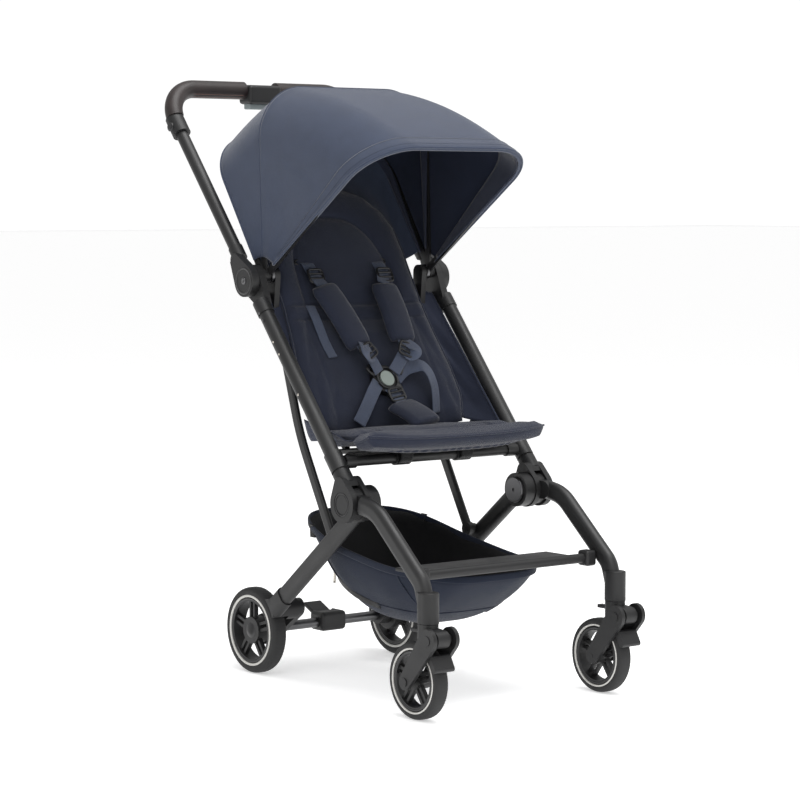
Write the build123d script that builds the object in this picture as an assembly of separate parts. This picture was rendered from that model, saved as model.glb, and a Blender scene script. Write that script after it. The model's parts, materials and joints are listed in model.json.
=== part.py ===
from build123d import *

import os
from math import asin, atan2, cos, degrees, hypot, radians, sin

# Folding baby stroller. Millimetres, +Z up, the floor at Z = 0, the child faces -Y, and +X is the left
# side seen from behind. The side view is laid out in (y, z) and pairs are mirrored across X = 0.

# ---------------------------------------------------------------- driving sizes
TUBE_HALF_SPAN = 199.0      # centre plane to the main tube
FRONT_AXLE = (-222.0, 62.5)
REAR_AXLE = (283.6, 75.0)
HUB = (-45.0, 328.0)        # main hub, where the tube and both legs meet
TUBE_FOOT = (-63.8, 328.0)  # a point on the main tube's line, level with the hub
TUBE_SLOPE = 50.1           # degrees from the floor
ELBOW_ALONG = 466.0         # hub level to the fold elbow, along the tube
COLLAR_ALONG = 803.0        # hub level to the handlebar collar, along the tube
HANDLE = (495.0, 1020.0)    # middle of the handlebar
SEAT_HALF = 137.0           # seat and backrest board, half width
LIP_HALF = 183.0            # leg rest, half width

# tubes and legs
MAIN_TUBE_D = 26.0
UPPER_TUBE_D = 22.0
TUBE_WALL = 1.8
SLEEVE_WALL = 1.6
LEG_TALL = 32.0
FRONT_LEG_WIDE = 21.0
REAR_LEG_WIDE = 20.0
LEG_WALL = 2.0
LEG_SLOPE_REAR = 38.5
CROSS_TUBE_D = 17.0
AXLE_TUBE_D = 17.0

# wheels
FRONT_WHEEL_D = 125.0
REAR_WHEEL_D = 150.0
FRONT_TYRE_W = 26.0
REAR_TYRE_W = 28.0
FRONT_RIM_D = 97.0
REAR_RIM_D = 114.0
RIM_LIP = 6.0
SPOKES = 5
FRONT_TRACK_HALF = 195.0
REAR_TRACK_HALF = 157.0
AXLE_D = 8.0
HUB_CAP_D = 47.0

# clearances
RUN_GAP = 0.2               # a pin or shaft in its bore, on the radius
FACE_GAP = 0.5              # two turning faces side by side
FIT_GAP = 0.05              # a piece pushed onto another, on the radius
SOFT_GAP = 0.4              # cloth or padding beside a hard part

# joints and hubs
HUB_R = 31.0
ELBOW_R = 27.5
FOLD_OFFSET = 15.0          # fold pin ahead of the tube line
FOLD_PIN_D = 10.0
HUB_PIN_D = 12.0
LINK_PIN_D = 8.0
SLEEVE_START = 48.0         # elbow centre to the start of each sleeve
SLEEVE_LONG = 24.0
CRANK_R = 80.0
CRANK_PHASE = -86.6         # degrees, from the fold pin to the strut's upper pivot
STRUT_FOOT_R = 139.0        # hub to the strut's lower pivot
STRUT_FOOT_PHASE = -34.0
CASTER = (-251.2, 157.3)    # swivel seam under the front leg
ARM_PIVOT = (-279.0, 135.0)
REAR_PIVOT = (224.0, 118.0)
RECLINE_PIVOT = (116.0, 424.0)
LIP_PIVOT = (-31.0, 412.0)
BACK_SLOPE = 61.0
BACK_LENGTH = 480.0
BOARD_T = 8.0
CUSHION_T = 24.0

# canopy
BOW_T = 4.0
BOW_W = 13.0
BOW_GAP = 0.5
REAR_BOW = (57.5, 284.0)    # degrees about the fold pin, height of the bow
MID_BOW = (88.0, 318.0)
FRONT_BOW = (143.5, 366.0)
BOW_CORNER = 90.0
CANOPY_CLOTH = 2.0

# ---------------------------------------------------------------- derived layout
SLOPE = radians(TUBE_SLOPE)
ALONG = (cos(SLOPE), sin(SLOPE))
AHEAD = (-sin(SLOPE), cos(SLOPE))


def on_tube(along, ahead=0.0):
    """Side-view point at a distance along the main tube and ahead of its line."""
    return (
        TUBE_FOOT[0] + along * ALONG[0] + ahead * AHEAD[0],
        TUBE_FOOT[1] + along * ALONG[1] + ahead * AHEAD[1],
    )


def polar(centre, radius, angle):
    """Side-view point at a radius and an angle in degrees from the rear horizontal."""
    return (centre[0] + radius * cos(radians(angle)), centre[1] + radius * sin(radians(angle)))


ELBOW = on_tube(ELBOW_ALONG)
FOLD = on_tube(ELBOW_ALONG, FOLD_OFFSET)
COLLAR = on_tube(COLLAR_ALONG)
STRUT_FOOT = polar(HUB, STRUT_FOOT_R, STRUT_FOOT_PHASE)
STRUT_HEAD = polar(FOLD, CRANK_R, CRANK_PHASE)
REAR_LEG_END = (REAR_PIVOT[0] - 14.0, HUB[1] - (REAR_PIVOT[0] - 14.0 - HUB[0]) * sin(radians(LEG_SLOPE_REAR))
                / cos(radians(LEG_SLOPE_REAR)))

# layers across the width, each an inner and an outer face
TUBE_R = MAIN_TUBE_D / 2
OUTER_PLATE = (TUBE_HALF_SPAN + 5.6, TUBE_HALF_SPAN + 16.5)
FRONT_EYE = (TUBE_HALF_SPAN - 12.0, OUTER_PLATE[0] - FACE_GAP)
INNER_PLATE = (FRONT_EYE[0] - FACE_GAP - 9.5, FRONT_EYE[0] - FACE_GAP)
REAR_LEG_X = INNER_PLATE[0] - FACE_GAP - REAR_LEG_WIDE / 2 - 0.5
REAR_EYE = (REAR_LEG_X - REAR_LEG_WIDE / 2, INNER_PLATE[0] - FACE_GAP)
HEAD_LAYER = (REAR_EYE[0] - FACE_GAP - 4.5, REAR_EYE[0] - FACE_GAP)
STRUT_LAYER = (REAR_EYE[0] - 15.0, REAR_EYE[0] - 5.0)
ELBOW_INNER = (TUBE_HALF_SPAN - TUBE_R, TUBE_HALF_SPAN + 0.3)
ELBOW_OUTER = (TUBE_HALF_SPAN + 0.3 + FACE_GAP, TUBE_HALF_SPAN + TUBE_R + 2.0)
BOW_STACK = 4.0 * (BOW_T + BOW_GAP) + 1.5
CANOPY_LAYER = (ELBOW_INNER[0] - FACE_GAP - BOW_STACK, ELBOW_INNER[0] - FACE_GAP)
CRANK_LAYER = (STRUT_LAYER[1] + 3.0, CANOPY_LAYER[0] - 1.5)

REAR_END = HANDLE[0] + 16.0
FRONT_END = ARM_PIVOT[0] - 20.0
ORIGIN_Y = (REAR_END + FRONT_END) / 2

PARTS = {}


# ---------------------------------------------------------------- shape helpers
def keep(name, *solids):
    """File one node's solids under its name, moved to the floor point below the middle."""
    PARTS[name] = [Pos(0, -ORIGIN_Y, 0) * solid for solid in solids]


def both(solid):
    """The left piece and its mirror image."""
    return solid, mirror(solid, about=Plane.YZ)


def across(sketch, near, far):
    """A side-view sketch given a thickness from X = near to X = far."""
    return Pos(near, 0, 0) * extrude(Plane.YZ * sketch, far - near, dir=(1, 0, 0))


def pin(centre, radius, near, far):
    """A round bar along X."""
    return across(Pos(*centre) * Circle(radius), near, far)


def bar_outline(start, end, start_r, end_r):
    """A link's side outline: two round ends and the hull between them."""
    length = hypot(end[0] - start[0], end[1] - start[1])
    angle = degrees(atan2(end[1] - start[1], end[0] - start[0]))
    lean = degrees(asin((start_r - end_r) / length))
    up, down = radians(90 - lean), radians(-90 + lean)
    corners = [
        (start_r * cos(up), start_r * sin(up)),
        (length + end_r * cos(up), end_r * sin(up)),
        (length + end_r * cos(down), end_r * sin(down)),
        (start_r * cos(down), start_r * sin(down)),
    ]
    body = Polygon(*corners, align=None)
    outline = body + Circle(start_r) + Pos(length, 0) * Circle(end_r)
    return Pos(*start) * Rot(0, 0, angle) * outline


def side_path(points, radii, x):
    """A side-view line with rounded corners, at one X."""
    return FilletPolyline(*[(x, y, z) for y, z in points], radius=radii)


def swept(path, section):
    """A section carried along a path that starts square to it. The section's x is across."""
    start = Plane(path @ 0, x_dir=(1, 0, 0), z_dir=path % 0)
    return sweep(start * section, path=path)


def tube(path, diameter, wall):
    """A round tube along a path."""
    return swept(path, Circle(diameter / 2)) - swept(path, Circle(diameter / 2 - wall))


def oval(wide, tall):
    """A stadium section, taller than it is wide."""
    return Rot(0, 0, 90) * SlotOverall(tall, wide)


def rounded(shape, radius, edges=None):
    """Round the given edges, or every edge."""
    return fillet(edges if edges is not None else shape.edges(), radius)


def slab(centre, size, tilt, radius):
    """A block with rounded edges, tilted about X. Size is across, along, thick."""
    block = Box(*size)
    block = rounded(block, radius)
    return Pos(0, *centre) * Rot(tilt, 0, 0) * block


# ---------------------------------------------------------------- main frame
def main_tubes():
    foot = on_tube(SLEEVE_START - 8.0)
    top = on_tube(ELBOW_ALONG - SLEEVE_START)
    path = Line((TUBE_HALF_SPAN, *foot), (TUBE_HALF_SPAN, *top))
    keep("main_tubes", *both(tube(path, MAIN_TUBE_D, TUBE_WALL)))


def sleeve(start, end, inner_d, wall):
    """A round sleeve that slips over a tube between two distances along it."""
    path = Line((TUBE_HALF_SPAN, *on_tube(start)), (TUBE_HALF_SPAN, *on_tube(end)))
    outer = swept(path, Circle(inner_d / 2 + FIT_GAP + wall))
    return outer - swept(path, Circle(inner_d / 2 + FIT_GAP))


def plug(start, end, diameter):
    """A round plug between two distances along the tube line."""
    path = Line((TUBE_HALF_SPAN, *on_tube(start)), (TUBE_HALF_SPAN, *on_tube(end)))
    return swept(path, Circle(diameter / 2))


def main_hubs():
    """Fork-shaped hub: two round plates on a socket that holds the main tube's foot."""
    tube_foot = SLEEVE_START - 8.0
    neck = bar_outline(HUB, on_tube(tube_foot), HUB_R, TUBE_R + 1.0)
    outer = across(neck, *OUTER_PLATE)
    outer = rounded(outer, 2.5, outer.faces().sort_by(Axis.X)[-1].edges())
    inner = across(neck, *INNER_PLATE)
    sector = Pos(*HUB) * Circle(HUB_R + 1.5)
    web = bar_outline(on_tube(HUB_R), on_tube(tube_foot), TUBE_R, TUBE_R + 1.0)
    web = across(web, INNER_PLATE[0], OUTER_PLATE[1])
    web = web - across(sector, FRONT_EYE[0] - FACE_GAP, OUTER_PLATE[0])
    socket = sleeve(tube_foot, tube_foot + SLEEVE_LONG, MAIN_TUBE_D, SLEEVE_WALL + 0.6)
    hub = outer + inner + web
    hub = hub - plug(tube_foot, tube_foot + 60.0, MAIN_TUBE_D + 2 * FIT_GAP)
    hub = hub + socket
    bolt = pin(HUB, HUB_PIN_D / 2 + RUN_GAP, INNER_PLATE[0], OUTER_PLATE[1] - 6.0)
    recess = pin(HUB, 20.5 + FIT_GAP, OUTER_PLATE[1] - 3.0, OUTER_PLATE[1])
    keep("main_hubs", *both(hub - bolt - recess))
    shank = pin(HUB, HUB_PIN_D / 2, HEAD_LAYER[1], OUTER_PLATE[1] - 6.5)
    head = pin(HUB, 22.0, *HEAD_LAYER)
    head = rounded(head, 1.5, head.faces().sort_by(Axis.X)[0].edges())
    driver = across(Pos(*HUB) * RegularPolygon(3.5, 6), HEAD_LAYER[0], HEAD_LAYER[0] + 2.0)
    keep("hub_bolts", *both(head + shank - driver))
    cap = pin(HUB, 20.5, OUTER_PLATE[1] - 3.0, OUTER_PLATE[1] - 0.8)
    dish = across(Pos(*HUB) * (Circle(16.5) - Circle(15.7)), OUTER_PLATE[1] - 1.4, OUTER_PLATE[1] - 0.8)
    keep("hub_caps", *both(cap - dish))


def lower_elbows():
    """Frame half of the fold elbow: a disc beside the handle's disc and a sleeve on the main tube."""
    end = ELBOW_ALONG - SLEEVE_START
    disc = across(bar_outline(ELBOW, on_tube(end + 2.0), ELBOW_R, TUBE_R), *ELBOW_INNER)
    body = disc + plug(end - SLEEVE_LONG, end + 2.0, MAIN_TUBE_D + 2 * (FIT_GAP + SLEEVE_WALL))
    body = body - plug(end - SLEEVE_LONG - 1.0, end, MAIN_TUBE_D + 2 * FIT_GAP)
    bore = pin(FOLD, FOLD_PIN_D / 2 + RUN_GAP, ELBOW_INNER[0] - 1, ELBOW_INNER[1] + 1)
    keep("lower_elbows", *both(body - bore))


def upper_elbows():
    """Handle half of the fold elbow, with the round cover that shows outside."""
    start = ELBOW_ALONG + SLEEVE_START
    disc = across(bar_outline(ELBOW, on_tube(start - 2.0), ELBOW_R, UPPER_TUBE_D / 2 + 1.0), *ELBOW_OUTER)
    disc = rounded(disc, 2.5, disc.faces().sort_by(Axis.X)[-1].edges())
    sleeve_d = UPPER_TUBE_D + 2 * (FIT_GAP + SLEEVE_WALL)
    body = disc + plug(start, start + SLEEVE_LONG, sleeve_d)
    body = body - plug(start + 1.0, start + SLEEVE_LONG + 1.0, UPPER_TUBE_D + 2 * FIT_GAP)
    bore = pin(FOLD, FOLD_PIN_D / 2 + FIT_GAP, ELBOW_OUTER[0] - 1, ELBOW_OUTER[1] - 5.0)
    screw = pin(ELBOW, 3.6, ELBOW_OUTER[1] - 2.5, ELBOW_OUTER[1] + 1)
    keep("upper_elbows", *both(body - bore - screw))


def fold_pins():
    """Pins through the elbows and canopy bows that also carry the cranks, each with a spacer."""
    shank = pin(FOLD, FOLD_PIN_D / 2, CRANK_LAYER[0] + 2.0, ELBOW_OUTER[1] - 5.5)
    spacer = pin(FOLD, 14.0, CANOPY_LAYER[0], bow_layer(2)[0] - BOW_GAP)
    spacer = spacer - pin(FOLD, FOLD_PIN_D / 2 + FIT_GAP, CANOPY_LAYER[0] - 1, TUBE_HALF_SPAN)
    keep("fold_pins", *both(shank), *both(spacer))


def seat_cross_tube():
    """Cross tube under the seat's front, with a saddle at each main tube."""
    y, z = on_tube(CROSS_TUBE_ALONG)
    half = TUBE_HALF_SPAN - TUBE_R - SLEEVE_WALL
    bar = pin((y, z), CROSS_TUBE_D / 2, -half + 6.0, half - 6.0)
    bar = bar - pin((y, z), CROSS_TUBE_D / 2 - TUBE_WALL, -half + 4.0, half - 4.0)
    ends = []
    for side in (1, -1):
        cup = pin((y, z), CROSS_TUBE_D / 2 + 2.5, half - 22.0, half)
        cup = cup - pin((y, z), CROSS_TUBE_D / 2 + FIT_GAP, half - 23.0, half - 5.9)
        collar_path = Line((TUBE_HALF_SPAN, *on_tube(CROSS_TUBE_ALONG - 17.0)),
                           (TUBE_HALF_SPAN, *on_tube(CROSS_TUBE_ALONG + 17.0)))
        collar = swept(collar_path, Circle(TUBE_R + FIT_GAP + 2.2))
        cup = cup + collar - swept(collar_path, Circle(TUBE_R + FIT_GAP))
        ends.append(cup if side == 1 else mirror(cup, about=Plane.YZ))
    keep("seat_cross_tube", bar, *ends)


# ---------------------------------------------------------------- handle
def upper_tubes():
    start = on_tube(ELBOW_ALONG + SLEEVE_START + 1.0)
    path = Line((TUBE_HALF_SPAN, *start), (TUBE_HALF_SPAN, *COLLAR))
    keep("upper_tubes", *both(tube(path, UPPER_TUBE_D, TUBE_WALL)))


GRIP_D = 32.0
CORE_D = 22.0
COLLAR_LONG = 30.0
GRIP_CORNER = 57.0


def handle_path(skip):
    """The handlebar's centre line, up both sides and across the top, less a length at each foot."""
    foot = on_tube(COLLAR_ALONG + COLLAR_LONG / 2)
    rise = hypot(HANDLE[0] - foot[0], HANDLE[1] - foot[1])
    start = [foot[i] + (HANDLE[i] - foot[i]) * skip / rise for i in (0, 1)]
    left = [(TUBE_HALF_SPAN, *start), (TUBE_HALF_SPAN, *HANDLE)]
    right = [(-x, y, z) for x, y, z in reversed(left)]
    return FilletPolyline(*left, *right, radius=GRIP_CORNER)


def handlebar():
    """Bent core tube with a leather skin on both sides of the release housing."""
    core = handle_path(0.0)
    keep("handlebar", swept(core, Circle(CORE_D / 2)) - swept(core, Circle(CORE_D / 2 - TUBE_WALL)))
    skin = handle_path(COLLAR_LONG / 2 + FACE_GAP)
    leather = swept(skin, Circle(GRIP_D / 2)) - swept(core, Circle(CORE_D / 2 + FIT_GAP))
    gap = pin(HANDLE, GRIP_D, -FOLD_BOX[0] / 2 - FIT_GAP, FOLD_BOX[0] / 2 + FIT_GAP)
    keep("leather_grip", *(leather - gap).solids())


def handle_collars():
    """Plastic collars between the upper tubes and the grip."""
    low, high = COLLAR_ALONG - 8.0, COLLAR_ALONG + COLLAR_LONG
    body = plug(low, high, GRIP_D + 0.6)
    body = body - plug(low - 1, COLLAR_ALONG + FIT_GAP, UPPER_TUBE_D + 2 * FIT_GAP)
    body = body - swept(handle_path(0.0), Circle(CORE_D / 2 + FIT_GAP))
    body = body - swept(handle_path(COLLAR_LONG / 2), Circle(GRIP_D / 2 + 1.0))
    keep("handle_collars", *both(body))


FOLD_BOX = (70.0, 38.0, 34.0)
LEVER_SIZE = (62.0, 20.0, 11.0)


def fold_release():
    """Housing in the middle of the handlebar and the lever that is squeezed into it."""
    y, z = HANDLE
    box = Pos(0, y - 4.0, z - 7.0) * rounded(Box(*FOLD_BOX), 6.0)
    box = box - pin(HANDLE, CORE_D / 2 + 0.15, -60, 60)
    pocket = Pos(0, y - 6.0, z - 22.0) * Box(LEVER_SIZE[0] + 1.0, LEVER_SIZE[1] + 1.0, 16.0)
    keep("fold_housing", box - pocket)
    lever = Pos(0, y - 6.0, z - 28.0) * rounded(Box(*LEVER_SIZE), 2.5)
    keep("fold_lever", lever)


# ---------------------------------------------------------------- links
def cranks():
    """Arms on the fold pins that lift the struts when the handle folds."""
    arm = across(bar_outline(FOLD, STRUT_HEAD, 13.0, 10.0), *CRANK_LAYER)
    arm = arm + pin(STRUT_HEAD, 7.0, STRUT_LAYER[1] + FACE_GAP, CRANK_LAYER[0])
    arm = arm - pin(FOLD, FOLD_PIN_D / 2 + FIT_GAP, CRANK_LAYER[0] + 2.0, CRANK_LAYER[1] + 1)
    keep("cranks", *both(arm))


def struts():
    """Struts from the rear legs up to the cranks, bowed towards the rear."""
    middle = ((STRUT_FOOT[0] + STRUT_HEAD[0]) / 2 + 18.0, (STRUT_FOOT[1] + STRUT_HEAD[1]) / 2 - 8.0)
    path = side_path([STRUT_FOOT, middle, STRUT_HEAD], 420.0, (STRUT_LAYER[0] + STRUT_LAYER[1]) / 2)
    wide = STRUT_LAYER[1] - STRUT_LAYER[0]
    body = swept(path, oval(wide - 0.5, 19.0))
    foot = pin(STRUT_FOOT, 12.0, *STRUT_LAYER) + pin(STRUT_HEAD, 11.0, *STRUT_LAYER)
    body = body + foot - pin(STRUT_FOOT, LINK_PIN_D / 2 + RUN_GAP, STRUT_LAYER[0] - 1, STRUT_LAYER[1] + 1)
    left, right = both(body)
    keep("strut_left", left)
    keep("strut_right", right)


# ---------------------------------------------------------------- rear legs
def rear_legs():
    """Oval legs from the hub's inner layer down to the suspension sockets."""
    start = polar(HUB, 20.0, -LEG_SLOPE_REAR)
    path = Line((REAR_LEG_X, *start), (REAR_LEG_X, *REAR_LEG_END))
    leg = swept(path, oval(REAR_LEG_WIDE, LEG_TALL))
    leg = leg - swept(path, oval(REAR_LEG_WIDE - 2 * LEG_WALL, LEG_TALL - 2 * LEG_WALL))
    eye = pin(HUB, HUB_R - 2.0, *REAR_EYE)
    leg = leg + eye
    boss = pin(STRUT_FOOT, 9.0, STRUT_LAYER[1] + FACE_GAP, REAR_EYE[0] + 4.0)
    boss = boss + pin(STRUT_FOOT, LINK_PIN_D / 2, STRUT_LAYER[0] - 1.0, STRUT_LAYER[1] + 2.0)
    leg = leg + boss - pin(HUB, HUB_PIN_D / 2 + RUN_GAP, REAR_EYE[0] - 1, REAR_EYE[1] + 1)
    left, right = both(leg)
    keep("rear_leg_left", left)
    keep("rear_leg_right", right)


SPRING_R = 16.0
SPRING_LAYER = (REAR_TRACK_HALF - REAR_TYRE_W / 2 - 32.0, REAR_TRACK_HALF - REAR_TYRE_W / 2 - 3.0)


def rear_sockets():
    """End sockets of the rear legs with the hollow barrel that holds the rubber spring."""
    y, z = REAR_LEG_END
    back = polar(REAR_LEG_END, 34.0, 180.0 - LEG_SLOPE_REAR)
    path = Line((REAR_LEG_X, *back), (REAR_LEG_X, y, z))
    cup = swept(path, oval(REAR_LEG_WIDE + 4.5, LEG_TALL + 4.5))
    cup = cup - swept(path, oval(REAR_LEG_WIDE + 2 * FIT_GAP, LEG_TALL + 2 * FIT_GAP))
    cap_path = Line((REAR_LEG_X, y, z), (REAR_LEG_X, *polar(REAR_LEG_END, 5.0, -LEG_SLOPE_REAR)))
    cup = cup + swept(cap_path, oval(REAR_LEG_WIDE + 4.5, LEG_TALL + 4.5))
    barrel = pin(REAR_PIVOT, SPRING_R + 3.0, SPRING_LAYER[0] + 9.0, REAR_LEG_X + REAR_LEG_WIDE / 2)
    core = swept(path, oval(REAR_LEG_WIDE + 2 * FIT_GAP, LEG_TALL + 2 * FIT_GAP))
    cup = cup + barrel - core - pin(REAR_PIVOT, 9.0 + RUN_GAP, SPRING_LAYER[0], SPRING_LAYER[1] + 1.0)
    tyre_face = REAR_TRACK_HALF - REAR_TYRE_W / 2
    tyre = pin(REAR_AXLE, REAR_WHEEL_D / 2 + 6.0, tyre_face - 2.0, REAR_TRACK_HALF + 60.0)
    keep("rear_sockets", *both(cup - tyre))


def rear_axle():
    """Axle tube between the rear wheels and the trailing arms it hangs from."""
    inner_face = REAR_TRACK_HALF - REAR_TYRE_W / 2
    half = inner_face - 9.0
    bar = pin(REAR_AXLE, AXLE_TUBE_D / 2, -half, half)
    bar = bar - pin(REAR_AXLE, AXLE_D / 2 + FIT_GAP, -half - 1, half + 1)
    end = REAR_TRACK_HALF + REAR_TYRE_W / 2 - 6.0
    keep("rear_axle", bar, pin(REAR_AXLE, AXLE_D / 2, -end, end))
    arm_layer = (SPRING_LAYER[0] - 4.0, SPRING_LAYER[0] + 8.0)
    arm = across(bar_outline(REAR_PIVOT, REAR_AXLE, SPRING_R, 16.0), *arm_layer)
    arm = arm + pin(REAR_PIVOT, 9.0, arm_layer[0], SPRING_LAYER[1])
    drum = pin(REAR_AXLE, 27.0, inner_face - 14.0, inner_face - 1.0)
    drum = rounded(drum, 2.0, drum.faces().sort_by(Axis.X)[0].edges())
    arm = arm + pin(REAR_AXLE, 16.0, arm_layer[0], inner_face - 10.0) + drum
    arm = arm - pin(REAR_AXLE, AXLE_TUBE_D / 2 + FIT_GAP, arm_layer[0] - 1, half + 0.1)
    arm = arm - pin(REAR_AXLE, AXLE_D / 2 + FIT_GAP, half, inner_face + 1)
    keep("trailing_arms", *both(arm))


def brake():
    """Brake housing clamped on the axle and the pedal that swings on it."""
    y, z = REAR_AXLE
    shell = rounded(Box(54.0, 40.0, 34.0), 7.0)
    shell = Pos(0, y + 2.0, z + 2.0) * shell
    shell = shell - pin(REAR_AXLE, AXLE_TUBE_D / 2 + FIT_GAP, -60, 60)
    slot = Pos(0, y + 21.0, z + 14.0) * Box(PEDAL_WIDE + 2.0, 30.0, 30.0)
    bore = pin(PEDAL_PIVOT, 2.5 + RUN_GAP, -PEDAL_WIDE / 2 - 5.0, PEDAL_WIDE / 2 + 5.0)
    keep("brake_housing", shell - slot - bore)
    tilt = degrees(atan2(PEDAL_TIP[1] - PEDAL_PIVOT[1], PEDAL_TIP[0] - PEDAL_PIVOT[0]))
    length = hypot(PEDAL_TIP[0] - PEDAL_PIVOT[0], PEDAL_TIP[1] - PEDAL_PIVOT[1])
    flap = Pos(0, length / 2 - 1.5, 0) * rounded(Box(PEDAL_WIDE, length + 3.0, 7.0), 2.5)
    flap = Pos(0, *PEDAL_PIVOT) * Rot(tilt, 0, 0) * flap
    keep("brake_pedal", flap + pin(PEDAL_PIVOT, 2.5, -PEDAL_WIDE / 2 - 4.5, PEDAL_WIDE / 2 + 4.5))


PEDAL_PIVOT = (REAR_AXLE[0] + 12.0, REAR_AXLE[1] + 8.0)
PEDAL_TIP = (REAR_AXLE[0] + 52.0, REAR_AXLE[1] + 27.0)
PEDAL_WIDE = 38.0


# ---------------------------------------------------------------- wheels
def wheel(axle, track, diameter, width, rim_d, hub_r, shaft_d, layer_in):
    """Tyre and spoked rim of one left wheel, standing at its axle."""
    half = width / 2
    outer, seat = diameter / 2, rim_d / 2
    ring = [
        (-half + 1.0, seat),
        (-half, seat + 5.0),
        (-half + 1.5, outer - 6.0),
        (-half + 6.0, outer - 0.8),
        (half - 6.0, outer - 0.8),
        (half - 1.5, outer - 6.0),
        (half, seat + 5.0),
        (half - 1.0, seat),
    ]
    crown = ThreePointArc(ring[3], (0, outer), ring[4])
    outline = Polyline(*ring[:4]) + crown + Polyline(*ring[4:]) + Line(ring[7], ring[0])
    tyre = revolve(Plane.XY * make_face(outline), Axis.X)
    lip = Rectangle(width - 3.0, RIM_LIP, align=(Align.CENTER, Align.MAX))
    lip = revolve(Plane.XY * Pos(0, seat - FIT_GAP) * lip, Axis.X)
    boss = Pos(layer_in - track, 0, 0) * extrude(Plane.YZ * Circle(hub_r), track + half - 3.0 - layer_in)
    spoke_len = seat - RIM_LIP - hub_r + 3.0
    rim = lip + boss
    for index in range(SPOKES):
        for offset in (-1, 1):
            bar = Pos(half - 9.0, offset * 5.5, hub_r - 1.5 + spoke_len / 2) * Box(8.0, 5.0, spoke_len)
            rim = rim + Rot(index * 360.0 / SPOKES, 0, 0) * bar
    rim = rim - extrude(Plane.YZ * Circle(shaft_d / 2 + RUN_GAP), half + 60.0, both=True)
    rim = rim + Pos(half - 3.6, 0, 0) * extrude(Plane.YZ * Circle(hub_r), 1.4)
    return tyre, rim, Pos(track, *axle)


def rear_wheels():
    inner = REAR_TRACK_HALF - REAR_TYRE_W / 2
    tyre, rim, place = wheel(REAR_AXLE, REAR_TRACK_HALF, REAR_WHEEL_D, REAR_TYRE_W, REAR_RIM_D, HUB_CAP_D / 2,
                             AXLE_D, inner + 1.0)
    for kind, solid in (("tyre", tyre), ("rim", rim)):
        left, right = both(place * solid)
        keep("rear_" + kind + "_left", left)
        keep("rear_" + kind + "_right", right)


FORK_INNER = FRONT_TRACK_HALF - 22.5
FORK_OUTER = FRONT_TRACK_HALF + 29.5
FORK_T = 7.0


def front_wheels():
    tyre, rim, place = wheel(FRONT_AXLE, FRONT_TRACK_HALF, FRONT_WHEEL_D, FRONT_TYRE_W, FRONT_RIM_D, 14.0,
                             AXLE_D, FORK_INNER + FORK_T + FACE_GAP)
    rim = rim - extrude(Plane.YZ * Circle(AXLE_D / 2 + RUN_GAP), 60.0, both=True)
    for kind, solid in (("tyre", tyre), ("rim", rim)):
        left, right = both(place * solid)
        keep("front_" + kind + "_left", left)
        keep("front_" + kind + "_right", right)


# ---------------------------------------------------------------- front legs
LEG_LINE = [(-81.0, 328.5), (-118.0, 322.0), (-236.0, 219.0), (CASTER[0], CASTER[1] + 14.0)]


def front_legs():
    """Curved oval legs with a plastic knuckle over the caster."""
    path = side_path(LEG_LINE, [70.0, 34.0], TUBE_HALF_SPAN)
    leg = swept(path, oval(FRONT_LEG_WIDE, LEG_TALL))
    leg = leg - swept(path, oval(FRONT_LEG_WIDE - 2 * LEG_WALL, LEG_TALL - 2 * LEG_WALL))
    eye = pin(HUB, HUB_R - 4.0, *FRONT_EYE)
    neck = across(bar_outline(HUB, LEG_LINE[0], 17.0, 15.0), *FRONT_EYE)
    leg = leg + eye + neck - pin(HUB, HUB_PIN_D / 2 + RUN_GAP, FRONT_EYE[0] - 1, FRONT_EYE[1] + 1)
    left, right = both(leg)
    keep("front_leg_left", left)
    keep("front_leg_right", right)
    x = TUBE_HALF_SPAN
    low, high = CASTER[1] + 0.4, CASTER[1] + 50.0
    block = Pos(x, CASTER[0], 0) * extrude(Pos(0, 0, low) * oval(30.0, 38.0), high - low)
    block = rounded(block, 2.0, block.faces().sort_by(Axis.Z)[-1].edges())
    core = Pos(0, 0, 0) * swept(path, oval(FRONT_LEG_WIDE + 2 * FIT_GAP, LEG_TALL + 2 * FIT_GAP))
    block = block - core
    upright = (Align.CENTER, Align.CENTER, Align.MIN)
    stem = Pos(x, CASTER[0], low - 1) * Cylinder(6.0 + RUN_GAP, 12.0, align=upright)
    keep("knuckles", *both(block - stem))


def footrest():
    """Footrest tube between the front legs, its end clamps and the plate behind it."""
    half = TUBE_HALF_SPAN - FRONT_LEG_WIDE / 2 - 0.3
    bar = pin(FOOTREST, FOOT_TUBE_R, -half + 1.0, half - 1.0)
    for side in (1, -1):
        clamp = Pos(side * (half - 11.0), *FOOTREST) * rounded(Box(22.0, 26.0, 26.0), 5.0)
        bar = bar + clamp
    keep("footrest_bar", bar)
    middle = FOOTREST[0] + FOOT_TUBE_R + SOFT_GAP + FOOT_PLATE_LONG / 2
    plate = slab((middle, FOOTREST[1]), (2 * half - 52.0, FOOT_PLATE_LONG, 6.0), 0.0, 2.0)
    keep("footrest_plate", plate)


FOOTREST = (-205.0, 226.0)
FOOT_TUBE_R = 8.0
FOOT_PLATE_LONG = 78.0


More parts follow.
